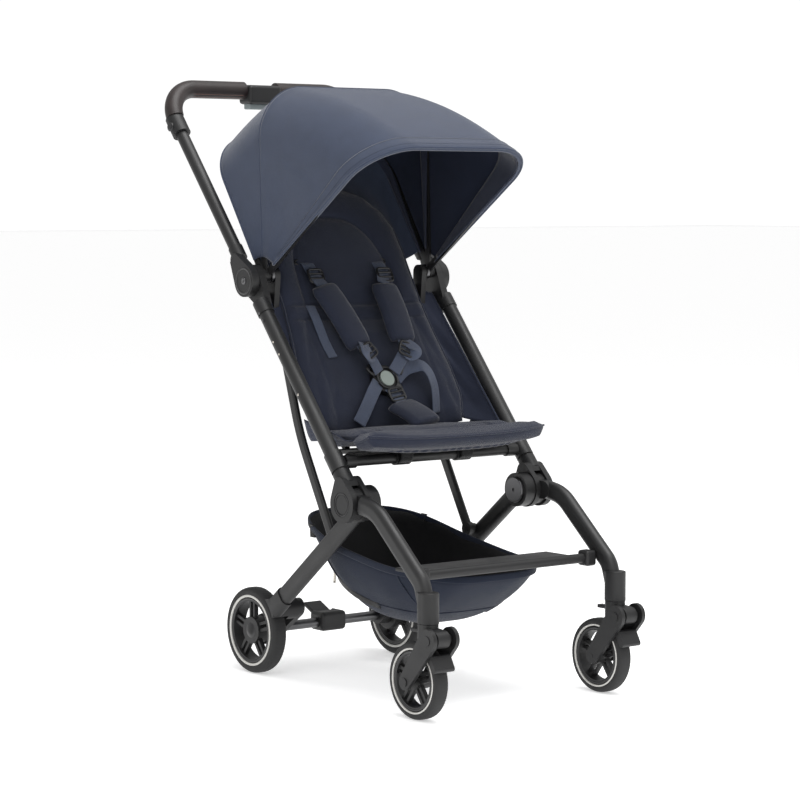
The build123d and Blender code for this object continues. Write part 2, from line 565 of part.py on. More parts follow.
def casters():
    """Caster heads with the arm pivot, forks, swivel locks and axle bolts."""
    x = TUBE_HALF_SPAN
    top = CASTER[1] - 0.4
    head = Pos(x, CASTER[0], top) * extrude(oval(29.0, 36.0), -28.0)
    head = rounded(head, 3.0, head.faces().sort_by(Axis.Z)[0].edges())
    horn = bar_outline((CASTER[0], CASTER[1] - 18.0), ARM_PIVOT, 12.0, 14.0)
    head = head + across(horn, x - 12.0, x + 12.0)
    stem = Pos(x, CASTER[0], top) * Cylinder(6.0, 10.5, align=(Align.CENTER, Align.CENTER, Align.MIN))
    trunnion = pin(ARM_PIVOT, 8.0, FORK_INNER - 1.0, FORK_OUTER + 1.0)
    head = head + stem + trunnion
    slot = Pos(x, CASTER[0] + 17.0, CASTER[1] - 13.0) * Box(14.0, 14.0, 11.0)
    tyre_room = pin(FRONT_AXLE, FRONT_WHEEL_D / 2 + 3.0, FRONT_TRACK_HALF - 15.5, FRONT_TRACK_HALF + 15.5)
    lock_bore = pin(LOCK_PIVOT, 2.0 + RUN_GAP, x - 9.6, x + 9.6)
    head = head - slot - tyre_room - lock_bore
    left, right = both(head)
    keep("caster_head_left", left)
    keep("caster_head_right", right)
    fork = None
    for near, far in ((FORK_INNER, FORK_INNER + FORK_T), (FORK_OUTER - FORK_T, FORK_OUTER)):
        arm = across(bar_outline(ARM_PIVOT, FRONT_AXLE, 19.0, 13.0), near, far)
        fork = arm if fork is None else fork + arm
    fork = fork - pin(ARM_PIVOT, 8.0 + RUN_GAP, FORK_INNER - 2, FORK_OUTER + 2)
    fork = fork - pin(FRONT_AXLE, AXLE_D / 2 + FIT_GAP, FORK_INNER - 1, FORK_OUTER + 1)
    bridge = across(bridge_outline(), FORK_INNER + FORK_T - 1.0, FORK_OUTER - FORK_T + 1.0)
    fork = fork + bridge
    shaft = pin(FRONT_AXLE, AXLE_D / 2, FORK_INNER - 0.5, FORK_OUTER + 0.5)
    bolt = shaft + pin(FRONT_AXLE, 7.0, FORK_OUTER, FORK_OUTER + 1.6)
    for side, pair in zip(("left", "right"), zip(both(fork), both(bolt))):
        keep("fork_" + side, *pair)


def bridge_outline():
    """The bar that joins a fork's two arms in front of the tyre."""
    reach = FRONT_WHEEL_D / 2 + 9.0
    near = polar(FRONT_AXLE, reach, 158.0)
    far = polar(FRONT_AXLE, reach, 142.0)
    return bar_outline(near, far, 5.0, 5.0)


def swivel_locks():
    """Foot levers behind the caster heads that lock the swivel."""
    x = TUBE_HALF_SPAN
    blade = Pos(x, LOCK_PIVOT[0] + 11.0, LOCK_PIVOT[1]) * rounded(Box(12.0, 26.0, 6.0), 1.5)
    left, right = both(blade + pin(LOCK_PIVOT, 2.0, x - 9.2, x + 9.2))
    keep("swivel_lock_left", left)
    keep("swivel_lock_right", right)


LOCK_PIVOT = (CASTER[0] + 14.0, CASTER[1] - 13.0)


# ---------------------------------------------------------------- seat
def seat():
    """Seat board hung between the tubes, its cushion and the leg rest hinged in front."""
    front = (LIP_PIVOT[0] + LIP_R + SOFT_GAP, LIP_PIVOT[1] - 2.0)
    back = (RECLINE_PIVOT[0] - 10.0, RECLINE_PIVOT[1] - 26.0)
    middle = ((front[0] + back[0]) / 2, (front[1] + back[1]) / 2)
    length = hypot(back[0] - front[0], back[1] - front[1])
    tilt = degrees(atan2(back[1] - front[1], back[0] - front[0]))
    board = slab(middle, (2 * SEAT_HALF, length, BOARD_T), tilt, 2.0)
    bar = on_tube(CROSS_TUBE_ALONG)
    for side in (1, -1):
        near, far = sorted((side * 50.0, side * 80.0))
        saddle = across(bar_outline(bar, (bar[0], middle[1]), CROSS_TUBE_D / 2 + 3.0, 3.0), near, far)
        near, far = sorted((side * (HINGE_X - 5.0), side * (HINGE_X + 5.0)))
        lug = across(bar_outline((back[0] - 7.0, back[1]), RECLINE_PIVOT, 3.5, 7.0), near, far)
        board = board + saddle + lug
    board = board - pin(bar, CROSS_TUBE_D / 2 + SOFT_GAP, -SEAT_HALF, SEAT_HALF)
    for side in (1, -1):
        near, far = sorted((side * (HINGE_X - 5.0), side * (HINGE_X + 17.0)))
        board = board + pin(RECLINE_PIVOT, 3.0, near, far)
    keep("seat_board", board)
    lift = BOARD_T / 2 + CUSHION_T / 2 + SOFT_GAP
    raised = (middle[0] - lift * sin(radians(tilt)) - 1.0, middle[1] + lift * cos(radians(tilt)))
    keep("seat_cushion", slab(raised, (2 * SEAT_HALF, length - 16.0, CUSHION_T), tilt, 8.0))
    keep("leg_rest", across(bar_outline(LIP_PIVOT, LIP_TIP, LIP_R, LIP_R - 1.0), -LIP_HALF, LIP_HALF))


LIP_R = 10.0
LIP_TIP = (-86.0, 431.0)
HINGE_X = 96.0
CROSS_TUBE_ALONG = 85.0


def back_point(along, proud=0.0):
    """Side-view point on the backrest board, measured from the recline pivot."""
    a = radians(BACK_SLOPE)
    return (
        RECLINE_PIVOT[0] + along * cos(a) - proud * sin(a),
        RECLINE_PIVOT[1] + along * sin(a) + proud * cos(a),
    )


def backrest():
    """Backrest board that reclines about its foot, and its cushion."""
    length = BACK_LENGTH - 20.0
    middle = back_point(20.0 + length / 2)
    board = slab(middle, (2 * SEAT_HALF - 16.0, length, BOARD_T), BACK_SLOPE, 2.0)
    for side in (1, -1):
        near, far = sorted((side * (HINGE_X + 5.0 + FACE_GAP), side * (HINGE_X + 17.0)))
        lug = across(bar_outline(RECLINE_PIVOT, back_point(34.0), 7.0, 3.5), near, far)
        board = board + lug - pin(RECLINE_PIVOT, 3.0 + RUN_GAP, near, far)
    keep("backrest_board", board)
    proud = BOARD_T / 2 + CUSHION_T / 2 + SOFT_GAP
    middle = back_point(36.0 + (BACK_LENGTH - 36.0) / 2, proud)
    keep("backrest_cushion", slab(middle, (2 * SEAT_HALF, BACK_LENGTH - 36.0, CUSHION_T), BACK_SLOPE, 9.0))


BUCKLE_LEVEL = 80.0
BUCKLE_R = 27.0
BUCKLE_T = 14.0
BUTTON_R = 14.0
BUTTON_TRAVEL = 3.0
STRAP_WIDE = 24.0
STRAP_T = 3.0
BUCKLE_PROUD = BOARD_T / 2 + CUSHION_T + 3 * SOFT_GAP + 0.3 + STRAP_T + BUCKLE_T / 2


def on_back(shape, x, along, proud, turn=0.0):
    """Place a flat shape, drawn in x and along, on the backrest's slope."""
    y, z = back_point(along, proud)
    return Pos(x, y, z) * Rot(BACK_SLOPE, 0, 0) * Rot(0, 0, turn) * shape


def webbing(start, end, proud):
    """A strap lying on the backrest between two (x, along) points."""
    run = hypot(end[0] - start[0], end[1] - start[1])
    turn = degrees(atan2(end[1] - start[1], end[0] - start[0]))
    middle = ((start[0] + end[0]) / 2, (start[1] + end[1]) / 2)
    return on_back(Box(run, STRAP_WIDE, STRAP_T), middle[0], middle[1], proud, turn)


def harness():
    """Buckle with its button, shoulder pads, shoulder straps, waist and crotch straps."""
    surface = BOARD_T / 2 + CUSHION_T + 2 * SOFT_GAP
    low = surface + 0.3 + STRAP_T / 2
    high = low + STRAP_T / 2 + SOFT_GAP
    buckle = Cylinder(BUCKLE_R, BUCKLE_T)
    buckle = rounded(buckle, 3.0) - Pos(0, 0, 6.0) * Cylinder(BUTTON_R + 0.4, 10.0)
    keep("buckle", on_back(buckle, 0.0, BUCKLE_LEVEL, BUCKLE_PROUD))
    button = Pos(0, 0, 1.3 + BUTTON_TRAVEL + 2.75) * Cylinder(BUTTON_R, 5.5)
    keep("buckle_button", on_back(button, 0.0, BUCKLE_LEVEL, BUCKLE_PROUD))
    pads, straps, belts = [], [], []
    for side in (1, -1):
        pad = rounded(Box(52.0, 150.0, 14.0), 5.0)
        pads.append(on_back(pad, side * 62.0, 232.0, high + 7.0, side * 9.0))
        straps.append(webbing((side * 76.0, 372.0), (side * 76.0, 290.0), low))
        straps.append(webbing((side * 52.0, 172.0), (side * 17.0, BUCKLE_LEVEL + 18.0), low))
        belts.append(webbing((side * 22.0, BUCKLE_LEVEL - 10.0), (side * 115.0, 48.0), low))
    belts.append(webbing((0.0, BUCKLE_LEVEL - 12.0), (0.0, 26.0), low))
    belts.append(on_back(rounded(Box(50.0, 40.0, 12.0), 4.0), 0.0, BUCKLE_LEVEL - 50.0, high + 6.0))
    keep("shoulder_pads", *pads)
    keep("shoulder_straps", *straps)
    keep("waist_straps", *belts)


# ---------------------------------------------------------------- basket
BASKET_WALL = 3.0
BASKET_FLOOR = [(-120.0, 112.0), (108.0, 118.0)]
BASKET_RIM = [(-186.0, 206.0), (200.0, 268.0)]
BASKET_HALF = (112.0, 136.0)


def basket():
    """Open cloth basket under the seat, wider at the rim than at its floor."""
    def shell(inset):
        rings = []
        for lift in (0.0, 1.0):
            half = BASKET_HALF[0] + (BASKET_HALF[1] - BASKET_HALF[0]) * lift - inset
            front = [BASKET_FLOOR[0][i] + (BASKET_RIM[0][i] - BASKET_FLOOR[0][i]) * lift for i in (0, 1)]
            back = [BASKET_FLOOR[1][i] + (BASKET_RIM[1][i] - BASKET_FLOOR[1][i]) * lift for i in (0, 1)]
            raise_by = inset if lift == 0.0 else 0.0
            length = hypot(back[0] - front[0], back[1] - front[1]) - 2 * inset
            tilt = degrees(atan2(back[1] - front[1], back[0] - front[0]))
            middle = (0, (front[0] + back[0]) / 2, (front[1] + back[1]) / 2 + raise_by)
            ring = Pos(*middle) * Rot(tilt, 0, 0) * RectangleRounded(2 * half, length, 26.0 - inset)
            rings.append(ring)
        return loft(Sketch() + rings)
    bag = shell(0.0) - shell(BASKET_WALL)
    leg_face = REAR_EYE[0] - SOFT_GAP
    plate_under = FOOTREST[1] - 3.0 - SOFT_GAP
    for side in (1, -1):
        near, far = sorted((side * (BASKET_HALF[1] - 4.0), side * leg_face))
        tab_y = BASKET_RIM[1][0] - 30.0
        tab_z = HUB[1] - (tab_y - HUB[0]) * sin(radians(LEG_SLOPE_REAR)) / cos(radians(LEG_SLOPE_REAR))
        bag = bag + Pos((near + far) / 2, tab_y, tab_z) * Box(far - near, 22.0, 2.0)
        post = Pos(side * 70.0, BASKET_RIM[0][0] + 1.5, (BASKET_RIM[0][1] + plate_under) / 2 - 2.0)
        bag = bag + post * Box(24.0, 2.0, plate_under - BASKET_RIM[0][1] + 4.0)
    keep("basket", bag)


# ---------------------------------------------------------------- canopy
def bow_layer(order):
    """Inner and outer face of one bow's eye, counted inward from the frame."""
    outer = CANOPY_LAYER[1] - 1.0 - order * (BOW_T + BOW_GAP)
    return outer - BOW_T, outer


def hoop(order, bow):
    """One flat bow: two eyes on the fold axis and an arch over the seat."""
    angle, height = bow
    near, far = bow_layer(order)
    corner = BOW_CORNER
    outer = [(far, 0.0), (far, height), (-far, height), (-far, 0.0)]
    inner = [(near, 0.0), (near, height - BOW_T), (-near, height - BOW_T), (-near, 0.0)]
    big = make_face(FilletPolyline(*outer, radius=corner) + Line(outer[3], outer[0]))
    small = make_face(FilletPolyline(*inner, radius=corner - BOW_T) + Line(inner[3], inner[0]))
    arch = extrude(big - small, BOW_W / 2, both=True)
    arch = Pos(0, *FOLD) * Rot(angle, 0, 0) * arch
    for side in (1, -1):
        low, high = (near, far) if side == 1 else (-far, -near)
        arch = arch + pin(FOLD, 11.0, low, high)
    bore = pin(FOLD, FOLD_PIN_D / 2 + RUN_GAP, -TUBE_HALF_SPAN, TUBE_HALF_SPAN)
    return arch - bore


def canopy_cloth(order, first, last, steps):
    """Cloth between two bows, just inside the inner one: arch sections about the fold axis, lofted."""
    sections = []
    half = bow_layer(order)[0] - SOFT_GAP
    for index in range(steps + 1):
        share = index / steps
        angle = first[0] + (last[0] - first[0]) * share
        height = first[1] + (last[1] - first[1]) * share - BOW_T - SOFT_GAP
        base = 60.0
        outer = [(half, base), (half, height), (-half, height), (-half, base)]
        inner = [(half - CANOPY_CLOTH, base), (half - CANOPY_CLOTH, height - CANOPY_CLOTH),
                 (-half + CANOPY_CLOTH, height - CANOPY_CLOTH), (-half + CANOPY_CLOTH, base)]
        line = FilletPolyline(*outer, radius=BOW_CORNER) + Line(outer[3], inner[3])
        line = line + FilletPolyline(*inner, radius=BOW_CORNER - CANOPY_CLOTH) + Line(inner[0], outer[0])
        sections.append(Pos(0, *FOLD) * Rot(angle, 0, 0) * make_face(line))
    return loft(Sketch() + sections)


REAR_TUCK = 1.5
MID_TUCK = 0.8


def canopy():
    """Three bows that share the fold axis, and the cloth between them."""
    rear_start = (REAR_BOW[0], REAR_BOW[1] - REAR_TUCK)
    front_start = (MID_BOW[0] + 0.2, MID_BOW[1] - MID_TUCK)
    keep("canopy_bow_rear", hoop(0, REAR_BOW))
    keep("canopy_bow_mid", hoop(1, MID_BOW))
    keep("canopy_bow_front", hoop(2, FRONT_BOW))
    keep("canopy_rear_panel", canopy_cloth(1, rear_start, (MID_BOW[0] - 0.2, MID_BOW[1]), 3))
    keep("canopy_front_panel", canopy_cloth(2, front_start, FRONT_BOW, 5))


def main():
    main_tubes()
    main_hubs()
    lower_elbows()
    upper_elbows()
    fold_pins()
    seat_cross_tube()
    upper_tubes()
    handlebar()
    handle_collars()
    fold_release()
    cranks()
    struts()
    rear_legs()
    rear_sockets()
    rear_axle()
    brake()
    rear_wheels()
    front_wheels()
    front_legs()
    footrest()
    casters()
    swivel_locks()
    seat()
    backrest()
    harness()
    basket()
    canopy()
    os.makedirs("parts", exist_ok=True)
    for name, solids in PARTS.items():
        export_step(solids[0] if len(solids) == 1 else Compound(children=solids), "parts/" + name + ".step")


if __name__ == "__main__":
    main()
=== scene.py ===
import json

import bpy
import numpy as np
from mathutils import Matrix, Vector


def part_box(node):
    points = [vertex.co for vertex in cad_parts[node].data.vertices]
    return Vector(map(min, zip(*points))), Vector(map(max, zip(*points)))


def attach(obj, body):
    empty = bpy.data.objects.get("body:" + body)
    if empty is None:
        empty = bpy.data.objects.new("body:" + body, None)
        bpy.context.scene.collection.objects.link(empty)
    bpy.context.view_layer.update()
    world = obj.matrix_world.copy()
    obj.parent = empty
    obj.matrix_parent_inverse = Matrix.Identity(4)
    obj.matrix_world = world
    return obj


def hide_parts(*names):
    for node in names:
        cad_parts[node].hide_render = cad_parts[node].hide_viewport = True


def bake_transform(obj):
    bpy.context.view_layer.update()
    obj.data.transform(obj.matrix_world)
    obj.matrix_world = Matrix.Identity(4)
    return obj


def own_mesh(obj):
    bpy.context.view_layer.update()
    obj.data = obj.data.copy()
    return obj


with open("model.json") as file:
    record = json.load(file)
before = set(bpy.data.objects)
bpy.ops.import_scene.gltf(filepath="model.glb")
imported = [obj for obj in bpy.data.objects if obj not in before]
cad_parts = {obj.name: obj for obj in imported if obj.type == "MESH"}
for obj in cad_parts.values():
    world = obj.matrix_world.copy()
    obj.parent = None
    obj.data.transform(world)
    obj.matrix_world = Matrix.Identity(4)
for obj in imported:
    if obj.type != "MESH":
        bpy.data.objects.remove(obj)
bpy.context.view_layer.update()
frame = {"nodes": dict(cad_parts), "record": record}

bl_info = {
    "name": "Folding baby stroller",
    "version": (1, 0, 0),
    "blender": (4, 5, 0),
    "location": "View3D > Sidebar > Stroller",
    "description": "Cloth, padding, wheels and trim around the stroller's frame",
    "category": "Object",
}

# Metres, +Z up, the child faces -Y, +X is the left side seen from behind.
FOLD = np.array([0.1176, 0.6951])        # fold axis, (y, z)
HUB = np.array([-0.151, 0.328])          # main hub, (y, z)
RECLINE = np.array([0.010, 0.424])       # foot of the backrest, (y, z)
BACK_SLOPE = np.radians(61.0)
TUBE_SLOPE = np.radians(50.1)
TUBE_X = 0.199                           # centre plane to the main tube
TUBE_LEVEL = np.array([-0.1698, 0.328])  # a point on the main tube's line, (y, z)
BOW_ANGLES = np.radians([57.5, 88.0, 143.5])
BOW_HEIGHTS = np.array([0.284, 0.318, 0.366])
BOW_HALVES = np.array([0.1864, 0.1824, 0.1782])
COVER_FOOT = 0.031                       # fold axis to the canopy's lower edge
BOW_CORNER = 0.0915                      # corner radius of the canopy's arch
HANDLE = np.array([0.389, 1.020])        # middle of the handlebar, (y, z)
SIDES = ((1, "left"), (-1, "right"))
ELBOW_LEVEL = 0.6855                     # height of the elbow's centre on the tube's line
PAD_PRESSURE = 4.0                       # air pressure of the short cloth run in every pad
CLOTH_FRAMES = 20                        # length of that run
PAD_POWER = 0.55                         # how roundly the wide pads swell from their side edges
PAD_LENGTH = 0.474                       # backrest pad, up its slope
REAR_EDGE = BOW_ANGLES[0] - np.radians(1.6)
FRONT_TIP = BOW_ANGLES[2] + np.radians(1.7)
SEAM_LEVELS = (0.236, 0.209)             # the backrest's two level seams, up its slope
SEAM_SIDE = 0.118                        # centre plane to the seams of the seat's insert
BUCKLE_LEVEL, BUCKLE_PROUD = 0.080, 0.0487
CAMERA_TURN, CAMERA_RISE = np.radians(-37.86), np.radians(4.31)
CAMERA_DISTANCE = 4.5
HIDE = 0.0007                            # half thickness of a pad at its sewn edge


# ---------------------------------------------------------------- surfaces
def unit(vectors):
    """Each vector divided by its own length."""
    return vectors / np.maximum(np.linalg.norm(vectors, axis=-1, keepdims=True), 1e-9)


def steps(grid, axis, closed):
    """Central differences along one axis of a grid of points, wrapped where the grid is closed."""
    if closed:
        return np.roll(grid, -1, axis) - np.roll(grid, 1, axis)
    return np.gradient(grid, axis=axis)


def grid_normals(grid, closed=False):
    """Cross product of the differences along the rows and the columns, at unit length."""
    return unit(np.cross(steps(grid, 1, closed), steps(grid, 0, False)))


def smooth_path(points, count, closed=False):
    """Catmull-Rom curve through the points: each span is a cubic of its two ends and their neighbours."""
    p = np.asarray(points, float)
    if closed:
        p = np.vstack([p[-1:], p, p[:2]])
    else:
        p = np.vstack([2 * p[:1] - p[1:2], p, 2 * p[-1:] - p[-2:-1]])
    spans = len(p) - 3
    t = np.linspace(0, spans, count, endpoint=not closed)
    i = np.minimum(t.astype(int), spans - 1)
    f = (t - i)[:, None]
    a, b, c, d = p[i], p[i + 1], p[i + 2], p[i + 3]
    return 0.5 * (2 * b + (c - a) * f + (2 * a - 5 * b + 4 * c - d) * f**2 + (3 * b - a - 3 * c + d) * f**3)


def quads(rows, columns, around, ring):
    """Corner numbers of a grid's quads, with each corner's own row and column before wrapping."""
    i = np.arange(rows if ring else rows - 1)[:, None]
    j = np.arange(columns if around else columns - 1)[None, :]
    i, j = np.broadcast_arrays(i, j)
    i, j = i.ravel(), j.ravel()
    row = np.stack([i, i, i + 1, i + 1], 1)
    column = np.stack([j, j + 1, j + 1, j], 1)
    return (row % rows) * columns + column % columns, row, column


def volume_sign(points, faces):
    """Sign of the volume inside a closed shell: sum over the faces of corner . (edge x edge)."""
    a, b, c, d = (points[faces[:, k]] for k in range(4))
    total = np.einsum("ij,ij->i", a, np.cross(b, c)).sum() + np.einsum("ij,ij->i", a, np.cross(c, d)).sum()
    return 1 if total >= 0 else -1


def shell(name, grid, materials, around=True, ring=False, ends="fan", layer=None):
    """A closed surface from a grid of points.

    Columns close on themselves if around, rows if ring. Ends are a fan to the end row's middle, or a strip
    that joins the two halves of the end row. UV is arc length in metres along the columns and the rows.
    layer gives each face's material from its row and column."""
    rows, columns = grid.shape[:2]
    points = grid.reshape(-1, 3)
    faces, row, column = quads(rows, columns, around, ring)
    across = np.linalg.norm(np.diff(np.concatenate([grid, grid[:, :1]], 1), axis=1), axis=2).mean(0)
    along = np.linalg.norm(np.diff(np.concatenate([grid, grid[:1]], 0), axis=0), axis=2).mean(1)
    u = np.concatenate([[0], np.cumsum(across)])
    v = np.concatenate([[0], np.cumsum(along)])
    uv = np.stack([u[column], v[row]], 2)
    slots = np.zeros(len(faces), int) if layer is None else layer(row[:, 0], column[:, 0])
    if not ring and around:
        for end, turn in ((0, 1), (rows - 1, -1)):
            if ends == "strip":
                half = columns // 2
                j = np.arange(half - 1)
                cap = np.stack([j, j + 1, columns - 2 - j, columns - 1 - j], 1) + end * columns
                spots = np.stack([u[j], u[j + 1], u[j + 1], u[j]], 1)
            else:
                j = np.arange(columns)
                centre = len(points)
                points = np.vstack([points, grid[end].mean(0)])
                cap = np.stack([j, (j + 1) % columns, np.full(columns, 0), np.full(columns, 0)],
                               1) + end * columns
                cap[:, 2] = centre
                cap[:, 3] = centre
                spots = np.stack([u[j], u[j + 1], u[j + 1], u[j]], 1)
            cap_uv = np.stack([spots, np.broadcast_to(v[end], spots.shape)], 2)
            if turn == 1:
                cap, cap_uv = cap[:, [1, 0, 3, 2]], cap_uv[:, [1, 0, 3, 2]]
            faces = np.vstack([faces, cap])
            uv = np.vstack([uv, cap_uv])
            slots = np.concatenate([slots, np.zeros(len(cap), int)])
    if volume_sign(points, faces) < 0:
        faces, uv = faces[:, ::-1], uv[:, ::-1]
    return place_mesh(name, points, faces, uv, slots, materials)


def place_mesh(name, points, faces, uv, slots, materials):
    """A mesh object from arrays. A quad whose last two corners are one point becomes a triangle."""
    mesh = bpy.data.meshes.new(name)
    triangle = (faces[:, 2] == faces[:, 3]) | (faces[:, 0] == faces[:, 1])
    keep = np.ones(faces.shape, bool)
    keep[(faces[:, 2] == faces[:, 3]), 3] = False
    keep[(faces[:, 0] == faces[:, 1]), 0] = False
    sizes = np.where(triangle, 3, 4)
    mesh.vertices.add(len(points))
    mesh.vertices.foreach_set("co", points.astype(np.float32).ravel())
    mesh.loops.add(int(sizes.sum()))
    mesh.loops.foreach_set("vertex_index", faces[keep].astype(np.int32))
    mesh.polygons.add(len(faces))
    mesh.polygons.foreach_set("loop_start", np.concatenate([[0], np.cumsum(sizes)[:-1]]).astype(np.int32))
    mesh.polygons.foreach_set("material_index", slots.astype(np.int32))
    mesh.update(calc_edges=True)
    mesh.polygons.foreach_set("use_smooth", np.ones(len(faces), bool))
    layer = mesh.uv_layers.new(name="Cloth")
    layer.data.foreach_set("uv", uv[keep].astype(np.float32).ravel())
    mesh.validate()
    for material in materials if isinstance(materials, (list, tuple)) else [materials]:
        mesh.materials.append(material)
    piece = bpy.data.objects.new(name, mesh)
    bpy.context.scene.collection.objects.link(piece)
    return piece


def sheet_shell(name, grid, thickness, materials):
    """Cloth of even thickness: the grid moved half a thickness each way along its normals, edges joined."""
    normal = grid_normals(grid)
    outer, inner = grid + normal * thickness / 2, grid - normal * thickness / 2
    columns = grid.shape[1]

    def face(row, column):
        return np.where(column < columns - 1, 0, 1)

    both = np.concatenate([outer, inner[:, ::-1]], 1)
    several = isinstance(materials, (list, tuple)) and len(materials) > 1
    return shell(name, both, materials, ends="strip", layer=face if several else None)


def pad_shell(name, grid, front, back, materials):
    """Padding: the grid moved along its normals by front one way and back the other, thin edges joined."""
    normal = grid_normals(grid)
    outer, inner = grid + normal * front[..., None], grid - normal * back[..., None]
    return shell(name, np.concatenate([outer, inner[:, ::-1]], 1), materials, ends="strip")


def carried(name, path, profile, materials, up=(0, 0, 1), ring=False, sizes=None):
    """A closed profile carried along a path: side is up x tangent, height is tangent x side."""
    path = np.asarray(path, float)
    tangent = unit(steps(path, 0, ring))
    side = unit(np.cross(np.broadcast_to(np.asarray(up, float), path.shape), tangent))
    height = np.cross(tangent, side)
    scale = np.ones(len(path)) if sizes is None else np.asarray(sizes)
    local = profile[None] * scale[:, None, None]
    grid = path[:, None] + side[:, None] * local[..., :1] + height[:, None] * local[..., 1:]
    return shell(name, grid, materials, ring=ring)


def circle(radius, count=12):
    """Points of a circle."""
    turn = np.linspace(0, 2 * np.pi, count, endpoint=False)
    return np.stack([radius * np.cos(turn), radius * np.sin(turn)], 1)


def flat_oval(width, height, count=20, power=5.0):
    """Points of a superellipse, a rectangle with rounded corners: |x/a|^p + |y/b|^p = 1."""
    turn = np.linspace(0, 2 * np.pi, count, endpoint=False)
    c, s = np.cos(turn), np.sin(turn)
    x = np.sign(c) * np.abs(c) ** (2 / power) * width / 2
    y = np.sign(s) * np.abs(s) ** (2 / power) * height / 2
    return np.stack([x, y], 1)


def turned(name, outline, centre, material, axis="x", sign=1, count=48):
    """A profile of (radius, height) points turned about an axis through centre."""
    turn = np.linspace(0, 2 * np.pi, count, endpoint=False)
    outline = np.asarray(outline, float)
    radius, height = outline[:, 0][:, None], outline[:, 1][:, None] * sign
    a, b = radius * np.cos(turn), radius * np.sin(turn)
    h = np.broadcast_to(height, a.shape)
    grid = np.stack([h, a, b], 2) if axis == "x" else np.stack([a, b, h], 2)
    return shell(name, grid + np.asarray(centre), material)


def joined(name, pieces):
    """Several meshes as one object, with their UVs and materials kept."""
    with bpy.context.temp_override(active_object=pieces[0], selected_editable_objects=pieces):
        bpy.ops.object.join()
    pieces[0].name = name
    pieces[0].data.name = name
    return pieces[0]


def puffed(piece, pinned, pressure, cap):
    """Swells a closed pad with a cloth simulation. pinned points stay; no point moves further than cap."""
    group = piece.vertex_groups.new(name="sewn")
    group.add(np.flatnonzero(pinned).tolist(), 1.0, "REPLACE")
    rest = vertex_points(piece)
    cloth = piece.modifiers.new("Cloth", "CLOTH")
    cloth.settings.quality = 5
    cloth.settings.mass = 0.3
    cloth.settings.tension_stiffness = 20
    cloth.settings.compression_stiffness = 14
    cloth.settings.shear_stiffness = 8
    cloth.settings.bending_stiffness = 0.6
    cloth.settings.use_pressure = True
    cloth.settings.uniform_pressure_force = pressure
    cloth.settings.effector_weights.gravity = 0
    cloth.settings.vertex_group_mass = "sewn"
    cloth.collision_settings.use_collision = False
    cloth.point_cache.frame_start, cloth.point_cache.frame_end = 1, CLOTH_FRAMES
    for number in range(1, CLOTH_FRAMES + 1):
        bpy.context.scene.frame_set(number)
    graph = bpy.context.evaluated_depsgraph_get()
    swollen = np.empty(len(rest) * 3, np.float32)
    piece.evaluated_get(graph).data.vertices.foreach_get("co", swollen)
    moved = swollen.reshape(-1, 3) - rest
    far = np.linalg.norm(moved, axis=1, keepdims=True)
    moved *= np.minimum(1, cap / np.maximum(far, 1e-9))
    piece.modifiers.remove(cloth)
    bpy.context.scene.frame_set(1)
    piece.data.vertices.foreach_set("co", (rest + moved).astype(np.float32).ravel())
    piece.data.update()
    return piece


def vertex_points(piece):
    """A mesh's points as an array."""
    points = np.empty(len(piece.data.vertices) * 3, np.float32)
    piece.data.vertices.foreach_get("co", points)
    return points.reshape(-1, 3)


# ---------------------------------------------------------------- places
def yz(x, point):
    """(x, y, z) from x and a (y, z) point or points."""
    point = np.asarray(point, float)
    return np.stack([np.broadcast_to(x, point.shape[:-1]), point[..., 0], point[..., 1]], -1)


def on_back(x, along, proud):
    """A point on the backrest: along its slope from the recline pivot, and proud of its board."""
    x, along, proud = np.broadcast_arrays(np.asarray(x, float), along, proud)
    y = RECLINE[0] + along * np.cos(BACK_SLOPE) - proud * np.sin(BACK_SLOPE)
    z = RECLINE[1] + along * np.sin(BACK_SLOPE) + proud * np.cos(BACK_SLOPE)
    return np.stack([x, y, z], -1)


BACK_UP = np.array([0, -np.sin(BACK_SLOPE), np.cos(BACK_SLOPE)])


def on_tube(level):
    """(y, z) of the main tube's line at a height."""
    level = np.asarray(level, float)
    return np.stack([TUBE_LEVEL[0] + (level - TUBE_LEVEL[1]) / np.tan(TUBE_SLOPE), level], -1)


# ---------------------------------------------------------------- shader groups
def new_group(name, inputs, outputs):
    """An empty shader group with float, vector and colour sockets, each with its default."""
    tree = bpy.data.node_groups.new(name, "ShaderNodeTree")
    for label, kind, default in inputs:
        socket = tree.interface.new_socket(label, in_out="INPUT", socket_type="NodeSocket" + kind)
        if default is not None:
            socket.default_value = default
    for label, kind in outputs:
        tree.interface.new_socket(label, in_out="OUTPUT", socket_type="NodeSocket" + kind)
    return tree, tree.nodes.new("NodeGroupInput"), tree.nodes.new("NodeGroupOutput")


def node(tree, kind, settings=None, values=None, links=None):
    """Adds a node, sets its properties and input values, and links its inputs."""
    made = tree.nodes.new("ShaderNode" + kind)
    for key, value in (settings or {}).items():
        setattr(made, key, value)
    for key, value in (values or {}).items():
        made.inputs[key].default_value = value
    for key, socket in (links or {}).items():
        tree.links.new(socket, made.inputs[key])
    return made


def maths(tree, operation, first, second=None, third=None):
    """A Math node's output; each operand is a number or a socket."""
    made = node(tree, "Math", {"operation": operation})
    for index, operand in enumerate((first, second, third)):
        if operand is None:
            continue
        if isinstance(operand, (int, float)):
            made.inputs[index].default_value = operand
        else:
            tree.links.new(operand, made.inputs[index])
    return made.outputs[0]


